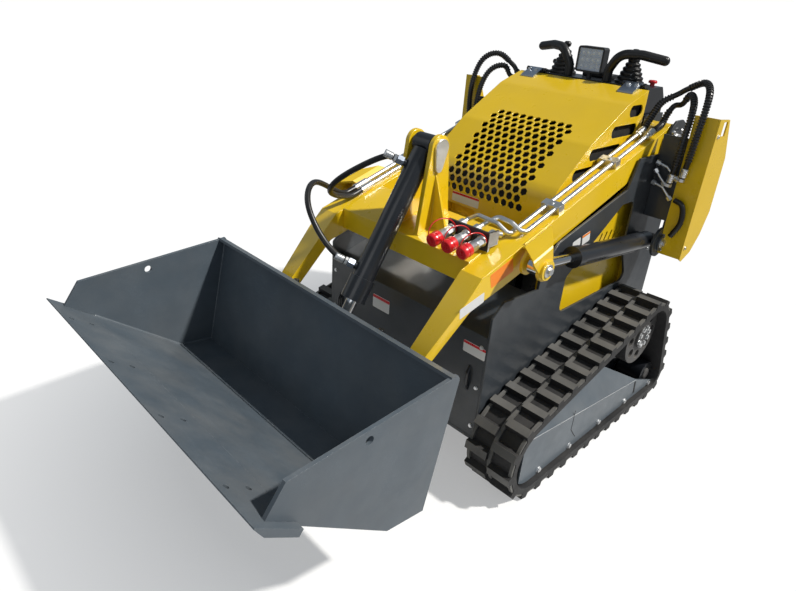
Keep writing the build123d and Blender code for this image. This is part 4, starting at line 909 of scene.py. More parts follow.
class Panels:
    """Copies of CAD nodes with small rounded edges that catch the light."""

    def __init__(self, finishes: Finishes) -> None:
        """Keeps the finishes."""
        self.finishes = finishes

    def soften(self, node: str, look: Look, angle: float = 28.0) -> bpy.types.Object:
        """Puts a piece with rounded edges in a node's place.

        Args:
            node: the CAD node that the piece stands for.
            look: its finish and the width of the rounding.
            angle: smallest angle of an edge that is rounded, in degrees.

        Returns:
            The new piece, riding on the node's body.
        """
        mesh = frame["nodes"][node].data.copy()
        mesh.transform(frame["nodes"][node].matrix_world)
        work = bmesh.new()
        work.from_mesh(mesh)
        bmesh.ops.remove_doubles(work, verts=work.verts, dist=1e-5)
        bmesh.ops.dissolve_limit(work, angle_limit=math.radians(0.6), verts=work.verts, edges=work.edges)
        work.to_mesh(mesh)
        work.free()
        mesh.shade_smooth()
        mesh.set_sharp_from_angle(angle=math.radians(angle))
        holder = link(f"{node}_piece", mesh)
        bevel = holder.modifiers.new("bevel", "BEVEL")
        bevel.width = look.edge
        bevel.segments = 2
        bevel.limit_method = "ANGLE"
        bevel.angle_limit = math.radians(angle)
        bevel.harden_normals = True
        even = holder.modifiers.new("even", "WEIGHTED_NORMAL")
        even.keep_sharp = True
        piece = self.finishes.dress(flattened(holder), look.finish)
        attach(piece, body_of(node))
        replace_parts(piece, node)
        log.info("%s for %s", piece.name, node)
        return piece


def arm_at(x: float, along: float, across: float) -> Vector:
    """Point on a loader arm in millimetres: across the machine, along the arm from its pivot, and square to it.

    Args:
        x: place across the machine.
        along: distance from the pivot along the arm.
        across: distance square to the arm, upwards.

    Returns:
        The point in millimetres.
    """
    y = ARM_PIVOT[0] - along * math.cos(SLOPE) - across * math.sin(SLOPE)
    z = ARM_PIVOT[1] - along * math.sin(SLOPE) + across * math.cos(SLOPE)
    return Vector((x, y, z))


def bucket_at(x: float, back: float, up: float) -> Vector:
    """Point in the bucket's own level frame, in millimetres, brought to where the bucket stands.

    Args:
        x: place across the machine.
        back: distance from the lip to the rear.
        up: height above the lip.

    Returns:
        The point in millimetres.
    """
    roll = math.radians(ROLL_BACK)
    return Vector((x, LIP[0] + back * math.cos(roll) + up * math.sin(roll),
                   LIP[1] - back * math.sin(roll) + up * math.cos(roll)))


def sideways(x: float) -> Matrix:
    """Matrix that stands a side-view outline (y, z) up at a place across the machine in millimetres.

    Args:
        x: the place across the machine.

    Returns:
        The matrix.
    """
    matrix = Matrix(((0, 0, 1, 0), (1, 0, 0, 0), (0, 1, 0, 0), (0, 0, 0, 1)))
    matrix.translation = mm(x, 0, 0)
    return matrix


class Surface:
    """Skin of a CAD node, for laying small pieces on it."""

    def __init__(self, node: str) -> None:
        """Builds the search tree of the node's faces.

        Args:
            node: name of the CAD node.
        """
        holder = frame["nodes"][node]
        matrix = holder.matrix_world
        points = [matrix @ v.co for v in holder.data.vertices]
        self.tree = BVHTree.FromPolygons(points, [tuple(p.vertices) for p in holder.data.polygons])

    def hit(self, start: Vector, way: Vector) -> tuple[Vector, Vector]:
        """First point of the skin and its normal on a ray.

        Args:
            start: start of the ray in millimetres.
            way: direction of the ray.

        Returns:
            The point in metres and the normal that faces the ray.

        Raises:
            ValueError: the ray misses the node.
        """
        at, normal, _, _ = self.tree.ray_cast(start * 0.001, way.normalized())
        if at is None:
            raise ValueError(f"the ray from {tuple(start)} misses the skin")
        return at, normal if normal.dot(way) < 0 else -normal


@dataclass(frozen=True)
class Label:
    """Blank label: its node, a ray that meets it, its upright direction, its size and its band."""

    name: str
    node: str
    start: Point
    way: Point
    up: Point
    width: float
    height: float
    finish: Finish
    band: Optional[Finish] = None


@dataclass
class Labels:
    """Blank labels with rounded corners, some with a coloured band along the top."""

    finishes: Finishes
    items: Sequence[Label]
    foot: float = 0.1
    thick: float = 0.4
    band_thick: float = 0.6
    band_share: float = 0.22
    band_up: float = 0.36
    corner: float = 4.0

    def build(self) -> None:
        """Lays each label on its surface."""
        for item in self.items:
            at, normal = Surface(item.node).hit(Vector(item.start), Vector(item.way))
            up = Vector(item.up)
            up = (up - normal * up.dot(normal)).normalized()
            turned = Matrix((up.cross(normal).normalized(), up, normal)).transposed().to_4x4()
            turned.translation = at
            self._plate(item, item.name, turned, item.height, self.thick, item.finish)
            if item.band is not None:
                turned.translation = at + up * item.height * self.band_up * 0.001
                self._plate(item, f"{item.name}_band", turned, item.height * self.band_share, self.band_thick,
                            item.band)

    def _plate(self, item: Label, name: str, turned: Matrix, height: float, thick: float, finish: Finish) -> None:
        """Makes one thin plate with rounded corners on the surface.

        Args:
            item: the label.
            name: the piece's name.
            turned: where and how it sits.
            height: its height over the surface.
            thick: its thickness.
            finish: its finish.
        """
        w, h, r = item.width / 2, height / 2, min(self.corner, height / 5)
        outline = []
        for cx, cy, first in ((w - r, h - r, 0), (r - w, h - r, 90), (r - w, r - h, 180), (w - r, r - h, 270)):
            for k in range(4):
                turn = math.radians(first + 30 * k)
                outline.append((cx + r * math.cos(turn), cy + r * math.sin(turn)))
        mesh = Shapes.prism(outline, self.foot, thick)
        mesh.transform(turned)
        self.finishes.seat(name, mesh, finish, body_of(item.node))


@dataclass
class Tracks:
    """Rubber tracks: rounded edges, lighter worn tops of the lugs, and the ribs that run round the belt."""

    finishes: Finishes
    panels: Panels
    wheels: Sequence[tuple[Point, float]] = (((-115.0, 150.0), 130.0), ((540.0, 315.0), 130.0), ((690.0, 88.0), 68.0))
    worn_from: float = 17.0
    edge: float = 0.0016
    ribs: Sequence[tuple[float, float, float]] = ((518, 528, 8), (440, 452, 7), (364, 374, 8))
    rib_foot: float = -1.0
    rib_steps: int = 120

    def off_belt(self, points: np.ndarray) -> np.ndarray:
        """Distance of side-view points outside the belt's outer line, in millimetres.

        Args:
            points: side-view points, one a row.

        Returns:
            One distance a point.
        """
        turns = np.linspace(0, 2 * np.pi, 361)[:-1]
        ways = np.stack((np.cos(turns), np.sin(turns)))
        reach = np.max([np.array(at) @ ways + r for at, r in self.wheels], axis=0)
        return np.max(points @ ways - reach, axis=1)

    def rib(self, low_x: float, high_x: float, top: float) -> bpy.types.Mesh:
        """Closed ring with a square section along the belt.

        Args:
            low_x: one side of the section, in millimetres from the middle plane.
            high_x: its other side, at the larger x.
            top: its top outside the belt's outer line.

        Returns:
            The mesh.
        """
        points, faces = [], []
        for turn in np.linspace(0, 2 * np.pi, self.rib_steps + 1)[:-1]:
            way = np.array((math.cos(turn), math.sin(turn)))
            at, r = max(self.wheels, key=lambda wheel: float(np.array(wheel[0]) @ way) + wheel[1])
            corners = ((low_x, self.rib_foot), (high_x, self.rib_foot), (high_x, top), (low_x, top))
            for x, out in corners:
                spot = np.array(at) + way * (r + out)
                points.append(mm(x, float(spot[0]), float(spot[1])))
        for i in range(self.rib_steps):
            a, b = 4 * i, 4 * ((i + 1) % self.rib_steps)
            faces += [[a + k, b + k, b + (k + 1) % 4, a + (k + 1) % 4] for k in range(4)]
        return Shapes.smoothed(points, faces)

    def build(self) -> None:
        """Builds both tracks."""
        for side, s in SIDES:
            rings = [self.rib(*sorted((s * a, s * b)), top) for a, b, top in self.ribs]
            self.finishes.seat(f"track_ribs_{side}", Shapes.joined(rings), Finishes.TREAD, "machine")
        for side, _ in SIDES:
            piece = self.panels.soften(f"track_{side}", Look(Finishes.RUBBER, self.edge), angle=30.0)
            piece.data.materials.append(self.finishes.get(Finishes.TREAD))
            centres = np.array([tuple(f.center) for f in piece.data.polygons]) * 1000
            worn = self.off_belt(centres[:, 1:]) > self.worn_from
            piece.data.polygons.foreach_set("material_index", worn.astype(np.int32))


@dataclass
class Fasteners:
    """Bolts, pin heads and wheel caps, each set in one table of places in millimetres."""

    repeats: Repeats
    pins: Sequence[tuple[str, Point, float]] = (("machine", (446, 618, 640), 1.0), ("lift_arms", (432, -97, 720), 1.0),
                                                ("bucket", (332.5, -506, 285), 0.8))
    pivot_nut_x: float = 363.5
    pivot_bolts: Sequence[Pair] = ((-34, 26), (34, 26), (0, -42))
    sprocket: Point = (502, 540, 315)
    sprocket_circle: float = 33.0
    sprocket_holes: int = 8
    roller_cap: Point = (494, 690, 88)
    cover_x: float = 514.0
    cover_bolts: Sequence[Pair] = ((-70, 60), (108, 58), (302, 58), (492, 58), (690, 54))
    hinge_x: Sequence[float] = (-218, -188, 188, 218)
    hinge_y: float = 632.0
    plates: Sequence[tuple[Point, Point]] = (
        *(((332, -208, z), (0, -1, 0)) for z in (190, 330, 470)),
        *(((517.8, 640, z), (1, 0, 0)) for z in (640, 1020)),
        *(((355, 740, z), (1, 0, 0)) for z in (260, 560)))
    clamp_x: float = 304.0
    clamps_along: Sequence[float] = (330, 640)

    @staticmethod
    def outward(places: Sequence[Point], size: float = 1.0) -> list[Spot]:
        """Spots at the same places on both sides that face outwards."""
        return [Spot(mm(s * x, y, z), Vector((s, 0, 0)), size=size) for _, s in SIDES for x, y, z in places]

    def bolts(self, name: str, body: str, spots: Iterable[Spot], thread: float = 8.0, seed: int = 3,
              spin: float = 1.0) -> None:
        """Sets zinc bolts of one thread size.

        Args:
            name: the piece's name.
            body: the CAD body that it rides on.
            spots: where the bolts go.
            thread: size of their thread, in millimetres.
            seed: seed of their random turns.
            spin: largest random turn, in radians.
        """
        self.repeats.place(name, body, Shapes.bolt(thread), Finishes.ZINC, spots, spin, seed)

    def build(self) -> None:
        """Builds all sets."""
        self._pins()
        y, z = ARM_PIVOT
        self.bolts("pivot_nuts", "machine", self.outward([(self.pivot_nut_x, y, z)]), 20, spin=0.0)
        places = [(self.pivot_nut_x - 0.5, y + dy, z + dz) for dy, dz in self.pivot_bolts]
        self.bolts("pivot_plate_bolts", "machine", self.outward(places), seed=5)
        self._wheels()
        places = [(self.cover_x, *at) for at in self.cover_bolts]
        self.bolts("cover_bolts", "machine", self.outward(places), 10, 9)
        self._hinges()
        spots = [Spot(mm(s * x, y, z), Vector((s * way[0], way[1], way[2])), size=0.8)
                 for _, s in SIDES for (x, y, z), way in self.plates]
        self.bolts("plate_bolts", "machine", spots, seed=11)
        up = Vector((0, -math.sin(SLOPE), math.cos(SLOPE)))
        spots = [Spot(arm_at(s * self.clamp_x, along, 66.5) * 0.001, up)
                 for _, s in SIDES for along in self.clamps_along]
        self.bolts("clamp_bolts", "lift_arms", spots, 6, 13)

    def _pins(self) -> None:
        """Caps and bolt heads on the ends of the linkage's pins."""
        cap = Shapes.lathe([(0, -2), (19, -2), (19, 2.2), (17.5, 3.4), (0, 3.4)], 32)
        for body, at, size in self.pins:
            places = self.outward([at], size)
            self.repeats.place(f"{body}_pin_caps", body, cap.copy(), Finishes.ZINC, places)
            on_cap = [Spot(p.at + p.facing * 0.0034, p.facing, size=p.size) for p in places]
            self.bolts(f"{body}_pin_bolts", body, on_cap, 12)

    def _wheels(self) -> None:
        """Bolt circles of the sprockets and caps of the rear rollers."""
        x, y, z = self.sprocket
        turns = [math.radians(360 / self.sprocket_holes * (k + 0.5)) for k in range(self.sprocket_holes)]
        ring = [(x, y + self.sprocket_circle * math.cos(t), z + self.sprocket_circle * math.sin(t)) for t in turns]
        self.bolts("sprocket_bolts", "machine", self.outward(ring), 10, 7)
        hub = Shapes.lathe([(0, -1), (24, -1), (24, 3), (19, 6), (0, 6)], 32)
        self.repeats.place("roller_caps", "machine", hub, Finishes.CAST, self.outward([self.roller_cap]))

    def _hinges(self) -> None:
        """Bolts of the hinge leaves on the hood."""
        skin = Surface("hood_hinges")
        spots = [Spot(*skin.hit(Vector((x, self.hinge_y, 1250)), Vector((0, 0, -1)))) for x in self.hinge_x]
        self.bolts("hinge_bolts", "hood", spots, seed=31)


@dataclass
class Hoses:
    """Hoses with their sleeves and spiral guards, and the pieces that cross a pivot."""

    finishes: Finishes
    repeats: Repeats
    radius: float = 9.0
    pipe_x: Sequence[float] = (288.0, 320.0)
    pipe_top: float = 56.5
    tower_x: Sequence[float] = (462.0, 424.0)
    tower_top: Sequence[float] = (1150.0, 1108.0)
    guard_pitch: float = 9.0
    guard: Sequence[Pair] = ((8.8, -2.8), (11.4, -1.9), (11.6, 1.9), (8.8, 2.8))
    sleeve_radius: float = 11.6
    loop: Sequence[Point] = ((452, 606, 800), (486, 606, 792), (496, 608, 730), (470, 608, 676))
    tilt_ports: Sequence[float] = (78.0, 406.0)
    tilt_routes: Sequence[Sequence[Point]] = (
        ((-112, -276, 916), (-216, -318, 842), (-280, -300, 776)),
        ((-112, -440, 704), (-196, -446, 800), (-262, -370, 846), (-312, -268, 790)))
    tubes: Sequence[Pair] = ((455, 868), (416, 842), (447, 800))
    tube_y: float = 602.0

    def tower_runs(self) -> list[Run]:
        """Lines of the hoses from the arms' pivots down the towers.

        Returns:
            One line a hose.
        """
        runs = []
        for _, s in SIDES:
            for i, (x, top) in enumerate(zip(self.tower_x, self.tower_top)):
                runs.append(Run.smooth(((s * 363, 700, top - 10), (s * (x - 44), 694, top + 24),
                                        (s * (x + 2), 636, top + 4), (s * (x + 8), 596, top - 110),
                                        (s * (x + 4), 599, top - 200), (s * (x - 4), 599, 868 - 26 * i))))
        return runs

    def arm_runs(self) -> list[Run]:
        """Lines of the hoses from the arms' pipes up to the pivots.

        Returns:
            One line a hose.
        """
        runs = []
        for _, s in SIDES:
            for i, (x, top) in enumerate(zip(self.pipe_x, self.tower_top)):
                runs.append(Run.smooth((arm_at(s * x, 129.1, self.pipe_top), arm_at(s * x, 84, self.pipe_top + 3),
                                        (s * (x + 1), 654 + 14 * i, top - 96), (s * (x + 5 * (1 - i)), 684, top - 60),
                                        (s * (330 - 2 * i), 700, top - 34))))
        return runs

    def sleeve(self, name: str, body: str, ends: Iterable[tuple[Vector, Vector]], length: float = 44.0) -> None:
        """Crimped sleeves on hose ends.

        Args:
            name: the piece's name.
            body: the CAD body that it rides on.
            ends: each end point in millimetres with the way that leads out of the hose.
            length: length of a sleeve.
        """
        spots = [Spot((at - out * length * 0.96) * 0.001, out, out.orthogonal()) for at, out in ends]
        shape = Shapes.ferrule(self.sleeve_radius, length)
        self.repeats.place(name, body, shape, Finishes.ZINC, spots, spin=1.0, seed=17)

    def covers(self, name: str, node: str, runs: Iterable[Run]) -> None:
        """Smooth hoses that stand for a CAD node of angular ones.

        Args:
            name: the piece's name.
            node: the CAD node.
            runs: the hoses' lines.
        """
        mesh = Shapes.joined([run.tube(self.radius) for run in runs])
        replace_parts(self.finishes.seat(name, mesh, Finishes.HOSE, body_of(node)), node)

    def bridge(self, name: str, a: Run, b: Run, bodies: tuple[str, str]) -> None:
        """Piece of hose between the last point of a and the first of b, which ride on two bodies.

        Args:
            name: the piece's name.
            a: the run that ends at the gap.
            b: the run that starts behind it.
            bodies: the body of a and the body of b.
        """
        first, out = a.end(True)
        last, back = b.end(False)
        reach = max(12.0, (last - first).length * 0.6)
        line = Run.curve(first - out * 3, first + out * reach, last + back * reach, last - back * 3)
        piece = self.finishes.dress(link(name, line.tube(self.radius)), Finishes.HOSE)
        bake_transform(piece)
        log.info("%s between %s and %s", name, *bodies)

    def build(self) -> None:
        """Builds the hoses, their fittings, guards and bridges."""
        towers, arms = self.tower_runs(), self.arm_runs()
        for name, body, runs, cut in (("tower_hose_guards", "machine", towers, (6, 60)),
                                      ("arm_hose_guards", "lift_arms", arms, (48, 4))):
            spots = [spot for run in runs for spot in run.spots(self.guard_pitch, *cut)]
            self.repeats.place(name, body, Shapes.lathe(self.guard, 16), Finishes.GUARD, spots)
        self.sleeve("tower_hose_sleeves", "machine", [run.end(True) for run in towers])
        self.sleeve("arm_hose_sleeves", "lift_arms", [run.end(False) for run in arms])
        loops = [Run.smooth([(s * x, y, z) for x, y, z in self.loop]) for _, s in SIDES]
        self.covers("tower_hose_covers", "tower_hoses", [*towers, *loops])
        self.covers("arm_hose_covers", "arm_hoses", arms)
        names = [f"{side}_{row}" for side, _ in SIDES for row in ("upper", "lower")]
        for name, arm_run, tower_run in zip(names, arms, towers):
            self.bridge(f"pivot_hose_{name}", arm_run, tower_run, ("lift_arms", "machine"))
        self._tilt()
        self._tower_tubes()

    def _tilt(self) -> None:
        """Fittings at the tilt cylinder's ports and the hoses that join the arm's pipes."""
        spots, runs = [], []
        for along, route, x in zip(self.tilt_ports, self.tilt_routes, self.pipe_x):
            foot = Vector((0, TILT_PIN[0] + along * TILT_WAY[0], TILT_PIN[1] + along * TILT_WAY[1]))
            spots.append(Spot((foot + PORT_WAY * 40) * 0.001, PORT_WAY))
            runs.append(Run.smooth((foot + PORT_WAY * 62, foot + PORT_WAY * 88, *route,
                                    arm_at(-x, 931, self.pipe_top), arm_at(-x, 886, self.pipe_top))))
        self.repeats.place("tilt_port_nuts", "tilt_barrel", Shapes.nut(15, 20), Finishes.BLUE_ZINC, spots)
        self.covers("tilt_hose_covers", "tilt_hoses", runs)
        self.sleeve("tilt_hose_sleeves", "tilt_barrel", [run.end(False) for run in runs], 40)
        for i, x in enumerate(self.pipe_x):
            pipe, hose = (Run((arm_at(-x, a, self.pipe_top), arm_at(-x, b, self.pipe_top)))
                          for a, b in ((830, 878), (886, 920)))
            self.bridge(f"tilt_hose_link_{i + 1}", pipe, hose, ("lift_arms", "tilt_barrel"))

    def _tower_tubes(self) -> None:
        """Steel tubes across the towers' front plates, with a nut at each end."""
        spots, y = [], self.tube_y
        for side, s in SIDES:
            for row, (x, z) in enumerate(self.tubes):
                line = Run(((s * (x - 10), y, z), (s * 398, y, z), (s * 380, y, z + 16), (s * 368, y, z + 42)))
                self.finishes.seat(f"tower_tube_{side}_{row + 1}", line.tube(4.5, 12), Finishes.ZINC, "machine")
                for at, out in (line.end(False), line.end(True)):
                    spots.append(Spot((at - out * 10) * 0.001, out, out.orthogonal()))
        self.repeats.place("tower_tube_nuts", "machine", Shapes.nut(9, 14), Finishes.ZINC, spots, spin=1.0)


@dataclass
class Couplers:
    """Quick couplers with red caps on tethers, and the elbow behind the bracket."""

    finishes: Finishes
    repeats: Repeats
    across: Sequence[float] = (152.0, 207.0, 262.0)
    at: Pair = (-178.0, 772.0)
    tip: float = math.radians(12.0)
    tether_radius: float = 1.7
    elbow_radius: float = 8.5

    def build(self) -> None:
        """Builds the couplers in place of the CAD's plain ones."""
        way = Vector((0, -math.cos(self.tip), -math.sin(self.tip)))
        over = Vector((0, -math.sin(self.tip), math.cos(self.tip)))
        spots = [Spot(mm(x, *self.at), way, Vector((1, 0, 0))) for x in self.across]
        body = Shapes.joined([
            Shapes.lathe([(0, -34), (10, -34), (12, -32), (12, 4), (16, 4), (16, 8), (0, 8)], 32),
            Shapes.prism(Shapes.hexagon(14), 8, 32),
            Shapes.lathe([(0, 31), (14, 31), (14, 36), (15.5, 38), (15.5, 56), (17, 58), (17, 62), (0, 62)], 32),
            Shapes.prism(Shapes.hexagon(12.6), -48, -32),
        ])
        cap = Shapes.joined([
            Shapes.lathe([(0, 58), (18, 58), (19.5, 60), (20, 63), (20, 74), (18.6, 75), (18.6, 78), (20, 79),
                          (20, 88), (17, 92), (8, 92), (8, 90), (0, 90)], 40),
            Shapes.lathe([(12.4, 0), (15, 0.5), (15, 5.5), (12.4, 6)], 32),
        ])
        for name, shape, finish in (("coupler_bodies", body, Finishes.ZINC), ("coupler_caps", cap, Finishes.RED)):
            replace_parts(self.repeats.place(name, "lift_arms", shape, finish, spots), "quick_couplers")
        for i, x in enumerate(self.across):
            middle = Vector((x, *self.at))
            start = middle + way * 91 - over * 6
            end = middle + way * 3 + Vector((15, 0, 0))
            lean = Vector((-26 + 8 * i, 0, 0))
            line = Run.curve(start, start + way * 16 + over * 74 + lean, end + over * (70 - 8 * i), end)
            self.finishes.seat(f"cap_tether_{i + 1}", line.tube(self.tether_radius, 10), Finishes.RED, "lift_arms")
        back = Vector((self.across[2], *self.at)) - way * 46
        elbow = Run((back + way * 6, back - way * 14, back - way * 18 + Vector((16, 0, -6))))
        self.finishes.seat("coupler_elbow", elbow.tube(self.elbow_radius), Finishes.ZINC, "lift_arms")


@dataclass
class Lamp:
    """Inside of the work lamp: a reflector, rows of light chips and cooling ribs."""

    repeats: Repeats
    at: Pair = (695.0, 1190.0)
    front_in: float = 14.0
    ribs_in: float = 18.0
    columns: Sequence[float] = (-31.5, -10.5, 10.5, 31.5)
    rows: Sequence[float] = (-23, 0, 23)
    half_width: float = 46.0
    half_height: float = 37.0
    rib_pitch: int = 9

    def slab(self, half_height: float, low: float, high: float) -> bpy.types.Mesh:
        """Flat block as wide as the lamp's inside."""
        w, h = self.half_width, half_height
        return Shapes.prism([(-w, -h), (w, -h), (w, h), (-w, h)], low, high)

    def build(self) -> None:
        """Builds the lamp's pieces."""
        y, z = self.at
        ahead = Vector((0, -1, 0))
        chips = [Spot(mm(x, y - self.front_in, z + dz), ahead) for x in self.columns for dz in self.rows]
        cup = Shapes.lathe([(0, 0.1), (5, 0.1), (9.6, 0.9), (10, 0.9), (10, -0.5), (0, -0.5)], 24)
        self.repeats.place("lamp_cups", "machine", cup, Finishes.SILVER, chips)
        chip = Shapes.lathe([(0, -0.2), (5.2, -0.2), (5.2, 0.1), (4.6, 0.6), (0, 0.9)], 20)
        self.repeats.place("lamp_chips", "machine", chip, Finishes.CHIP, chips)
        self.repeats.place("lamp_reflector", "machine", self.slab(self.half_height, 0.02, 0.1), Finishes.SILVER,
                           [Spot(mm(0, y - self.front_in, z), ahead)])
        ribs = [Spot(mm(0, y + self.ribs_in, z + dz), Vector((0, 1, 0))) for dz in range(-36, 37, self.rib_pitch)]
        self.repeats.place("lamp_ribs", "machine", self.slab(1.4, 0, 9), Finishes.LAMP, ribs)


@dataclass
class Hood:
    """Dark screens under the hood's vents."""

    finishes: Finishes
    half: float = 246.0
    thick: float = 1.5
    crown: Sequence[Point] = ((0, 156, 730), (0, 156, 818), (0, 330, 958), (0, 527, 1067), (0, 628, 1099))
    side: Sequence[Pair] = ((172, 792), (172, 812), (338, 950), (530, 1057), (626, 1088), (626, 915), (560, 908))

    def build(self) -> None:
        """Builds the screens as one piece."""
        points, faces = [], []
        for i, p in enumerate(Run(self.crown).line):
            y, z = p.y + self.thick, p.z - self.thick
            points += [mm(-self.half, p.y, p.z), mm(self.half, p.y, p.z), mm(self.half, y, z), mm(-self.half, y, z)]
            if i:
                low, high = 4 * i - 4, 4 * i
                faces += [[low + k, low + (k + 1) % 4, high + (k + 1) % 4, high + k] for k in range(4)]
        faces += [[3, 2, 1, 0], [len(points) - 4 + k for k in range(4)]]
        meshes = [Shapes.smoothed(points, faces)]
        for s in (1, -1):
            panel = Shapes.prism(self.side, 0, self.thick)
            panel.transform(sideways(s * 247 - self.thick / 2))
            meshes.append(panel)
        self.finishes.seat("hood_screens", Shapes.joined(meshes), Finishes.SCREEN, "hood")


@dataclass
class Welds:
    """Weld beads: rows of small overlapping ripples along the seams."""

    repeats: Repeats
    pitch: float = 3.0
    ripple: Sequence[Pair] = ((0, -2.2), (2.6, -1.6), (3.6, 0), (3.0, 1.6), (1.4, 2.4), (0, 2.6))
    bucket_half: float = 498.0
    bucket_line: Sequence[Pair] = ((132, 4), (443, -7), (540, 46), (401, 364))

    def bead(self, name: str, body: str, finish: Finish, lines: Sequence[tuple[Sequence[Vector], Vector]],
             size: float = 1.0) -> None:
        """Lays beads along lines.

        Args:
            name: the piece's name.
            body: the CAD body that it rides on.
            finish: finish of the beads.
            lines: each line's points in millimetres with the way that the bead faces.
            size: scale of a ripple.
        """
        spots = []
        for points, facing in lines:
            for a, b in zip(points, points[1:]):
                count = max(2, int((b - a).length / self.pitch))
                for k in range(count):
                    at = a.lerp(b, (k + 0.5) / count)
                    spots.append(Spot(at * 0.001, facing.normalized(), (b - a).normalized(), size))
        self.repeats.place(name, body, Shapes.lathe(self.ripple, 10), finish, spots, spin=3.0, seed=23)

    def build(self) -> None:
        """Builds the beads of the bucket and of the arms."""
        roll = math.radians(ROLL_BACK)
        up = Vector((0, math.sin(roll), math.cos(roll)))
        lines = []
        for s in (1, -1):
            profile = [bucket_at(s * (self.bucket_half + 0.5), *at) for at in self.bucket_line]
            lines.append((profile, Vector((-s, 0, 0)) + up))
        lines.append(([bucket_at(x, 441, -6) for x in (-self.bucket_half, self.bucket_half)], up))
        self.bead("bucket_welds", "bucket", Finishes.GREY, lines, 1.2)
        lines = []
        for s in (1, -1):
            for x, way in ((55, 1), (38, -1)):
                foot = [Vector((s * x, y, 722.5 + (y + 235) * 50 / 165)) for y in (-218, -88)]
                lines.append((foot, Vector((s * way, 0, 1))))
            lines.append(([arm_at(s * 341.5, 700, 43), arm_at(s * 341.5, 826, 43)], Vector((s, 0, 1))))
        self.bead("arm_welds", "lift_arms", Finishes.YELLOW, lines)


@dataclass
class Console:
    """Instrument pod, key, button and lever, and the rear panel's louvres."""

    finishes: Finishes
    repeats: Repeats
    pod: tuple[Point, Point] = ((-62, 752, 1126), (62, 800, 1142))
    pod_round: float = 4.0
    gauge_x: Sequence[float] = (-36, 0)
    louvre_x: Sequence[float] = (-120, 120)
    louvres: int = 9
    louvre_z: float = 300.0
    louvre_pitch: float = 26.0
    rear_bolts: Sequence[Pair] = tuple((x, z) for x in (-320, 320) for z in (270, 420, 570))

    def _pod(self) -> None:
        """Box of the instruments, with rounded edges."""
        low, high = (Vector(corner) for corner in self.pod)
        work = bmesh.new()
        bmesh.ops.create_cube(work, size=1.0)
        for vertex in work.verts:
            vertex.co = low + Vector(c * (p + 0.5) for c, p in zip(high - low, vertex.co))
        bmesh.ops.bevel(work, geom=work.edges[:], offset=self.pod_round, offset_type="OFFSET", segments=3, profile=0.5,
                        affect="EDGES", clamp_overlap=True)
        for vertex in work.verts:
            vertex.co *= 0.001
        mesh = bpy.data.meshes.new("instrument_pod")
        work.to_mesh(mesh)
        work.free()
        mesh.shade_smooth()
        mesh.set_sharp_from_angle(angle=math.radians(40))
        self.finishes.seat("instrument_pod", mesh, Finishes.GRIP, "machine")

    def build(self) -> None:
        """Builds the small parts of the console and the rear panel."""
        self._pod()
        gauge = Shapes.lathe([(0, -1), (17, -1), (17, 2.4), (14.5, 2.4), (14, 1.2), (0, 1.2)], 32)
        key = Shapes.joined([Shapes.lathe([(0, -1), (9, -1), (9, 3), (6, 4), (0, 4)], 24),
                             Shapes.prism([(-1.2, -8), (1.2, -8), (1.2, 8), (-1.2, 8)], 3, 20)])
        knob = Shapes.lathe([(0, -1), (8, -1), (8, 6), (15, 8), (15, 14), (12, 17), (0, 18)], 28)
        lever = Shapes.joined([Shapes.lathe([(0, 0), (3, 0), (3, 26), (0, 26)], 12),
                               Shapes.lathe([(0, 24), (7, 26), (10, 33), (7, 41), (0, 43)], 20)])
        for name, shape, finish, places in (
                ("gauges", gauge, Finishes.SCREEN, [(x, 776, 1142) for x in self.gauge_x]),
                ("key_switch", key, Finishes.ZINC, [(36, 776, 1142)]),
                ("stop_button", knob, Finishes.RED, [(205, 780, 1126)]),
                ("throttle_lever", lever, Finishes.GRIP, [(-205, 780, 1126)])):
            self.repeats.place(name, "machine", shape, finish, [Spot(mm(*at)) for at in places])
        self._rear()

    def _rear(self) -> None:
        """Louvres and bolts on the rear panel's skin."""
        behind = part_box("rear_panel")[1][1] * 1000 + 100
        skin = Surface("rear_panel")
        ahead = Vector((0, -1, 0))
        slats = [Spot(*skin.hit(Vector((x, behind, self.louvre_z + self.louvre_pitch * k)), ahead))
                 for x in self.louvre_x for k in range(self.louvres)]
        louvre = Shapes.prism([(-90, -5), (90, -5), (86, 6), (-86, 6)], -0.5, 3.2)
        self.repeats.place("rear_louvres", "machine", louvre, Finishes.BLACK, slats)
        bolts = [Spot(*skin.hit(Vector((x, behind, z)), ahead)) for x, z in self.rear_bolts]
        self.repeats.place("rear_bolts", "machine", Shapes.bolt(8), Finishes.ZINC, bolts, spin=1.0, seed=29)


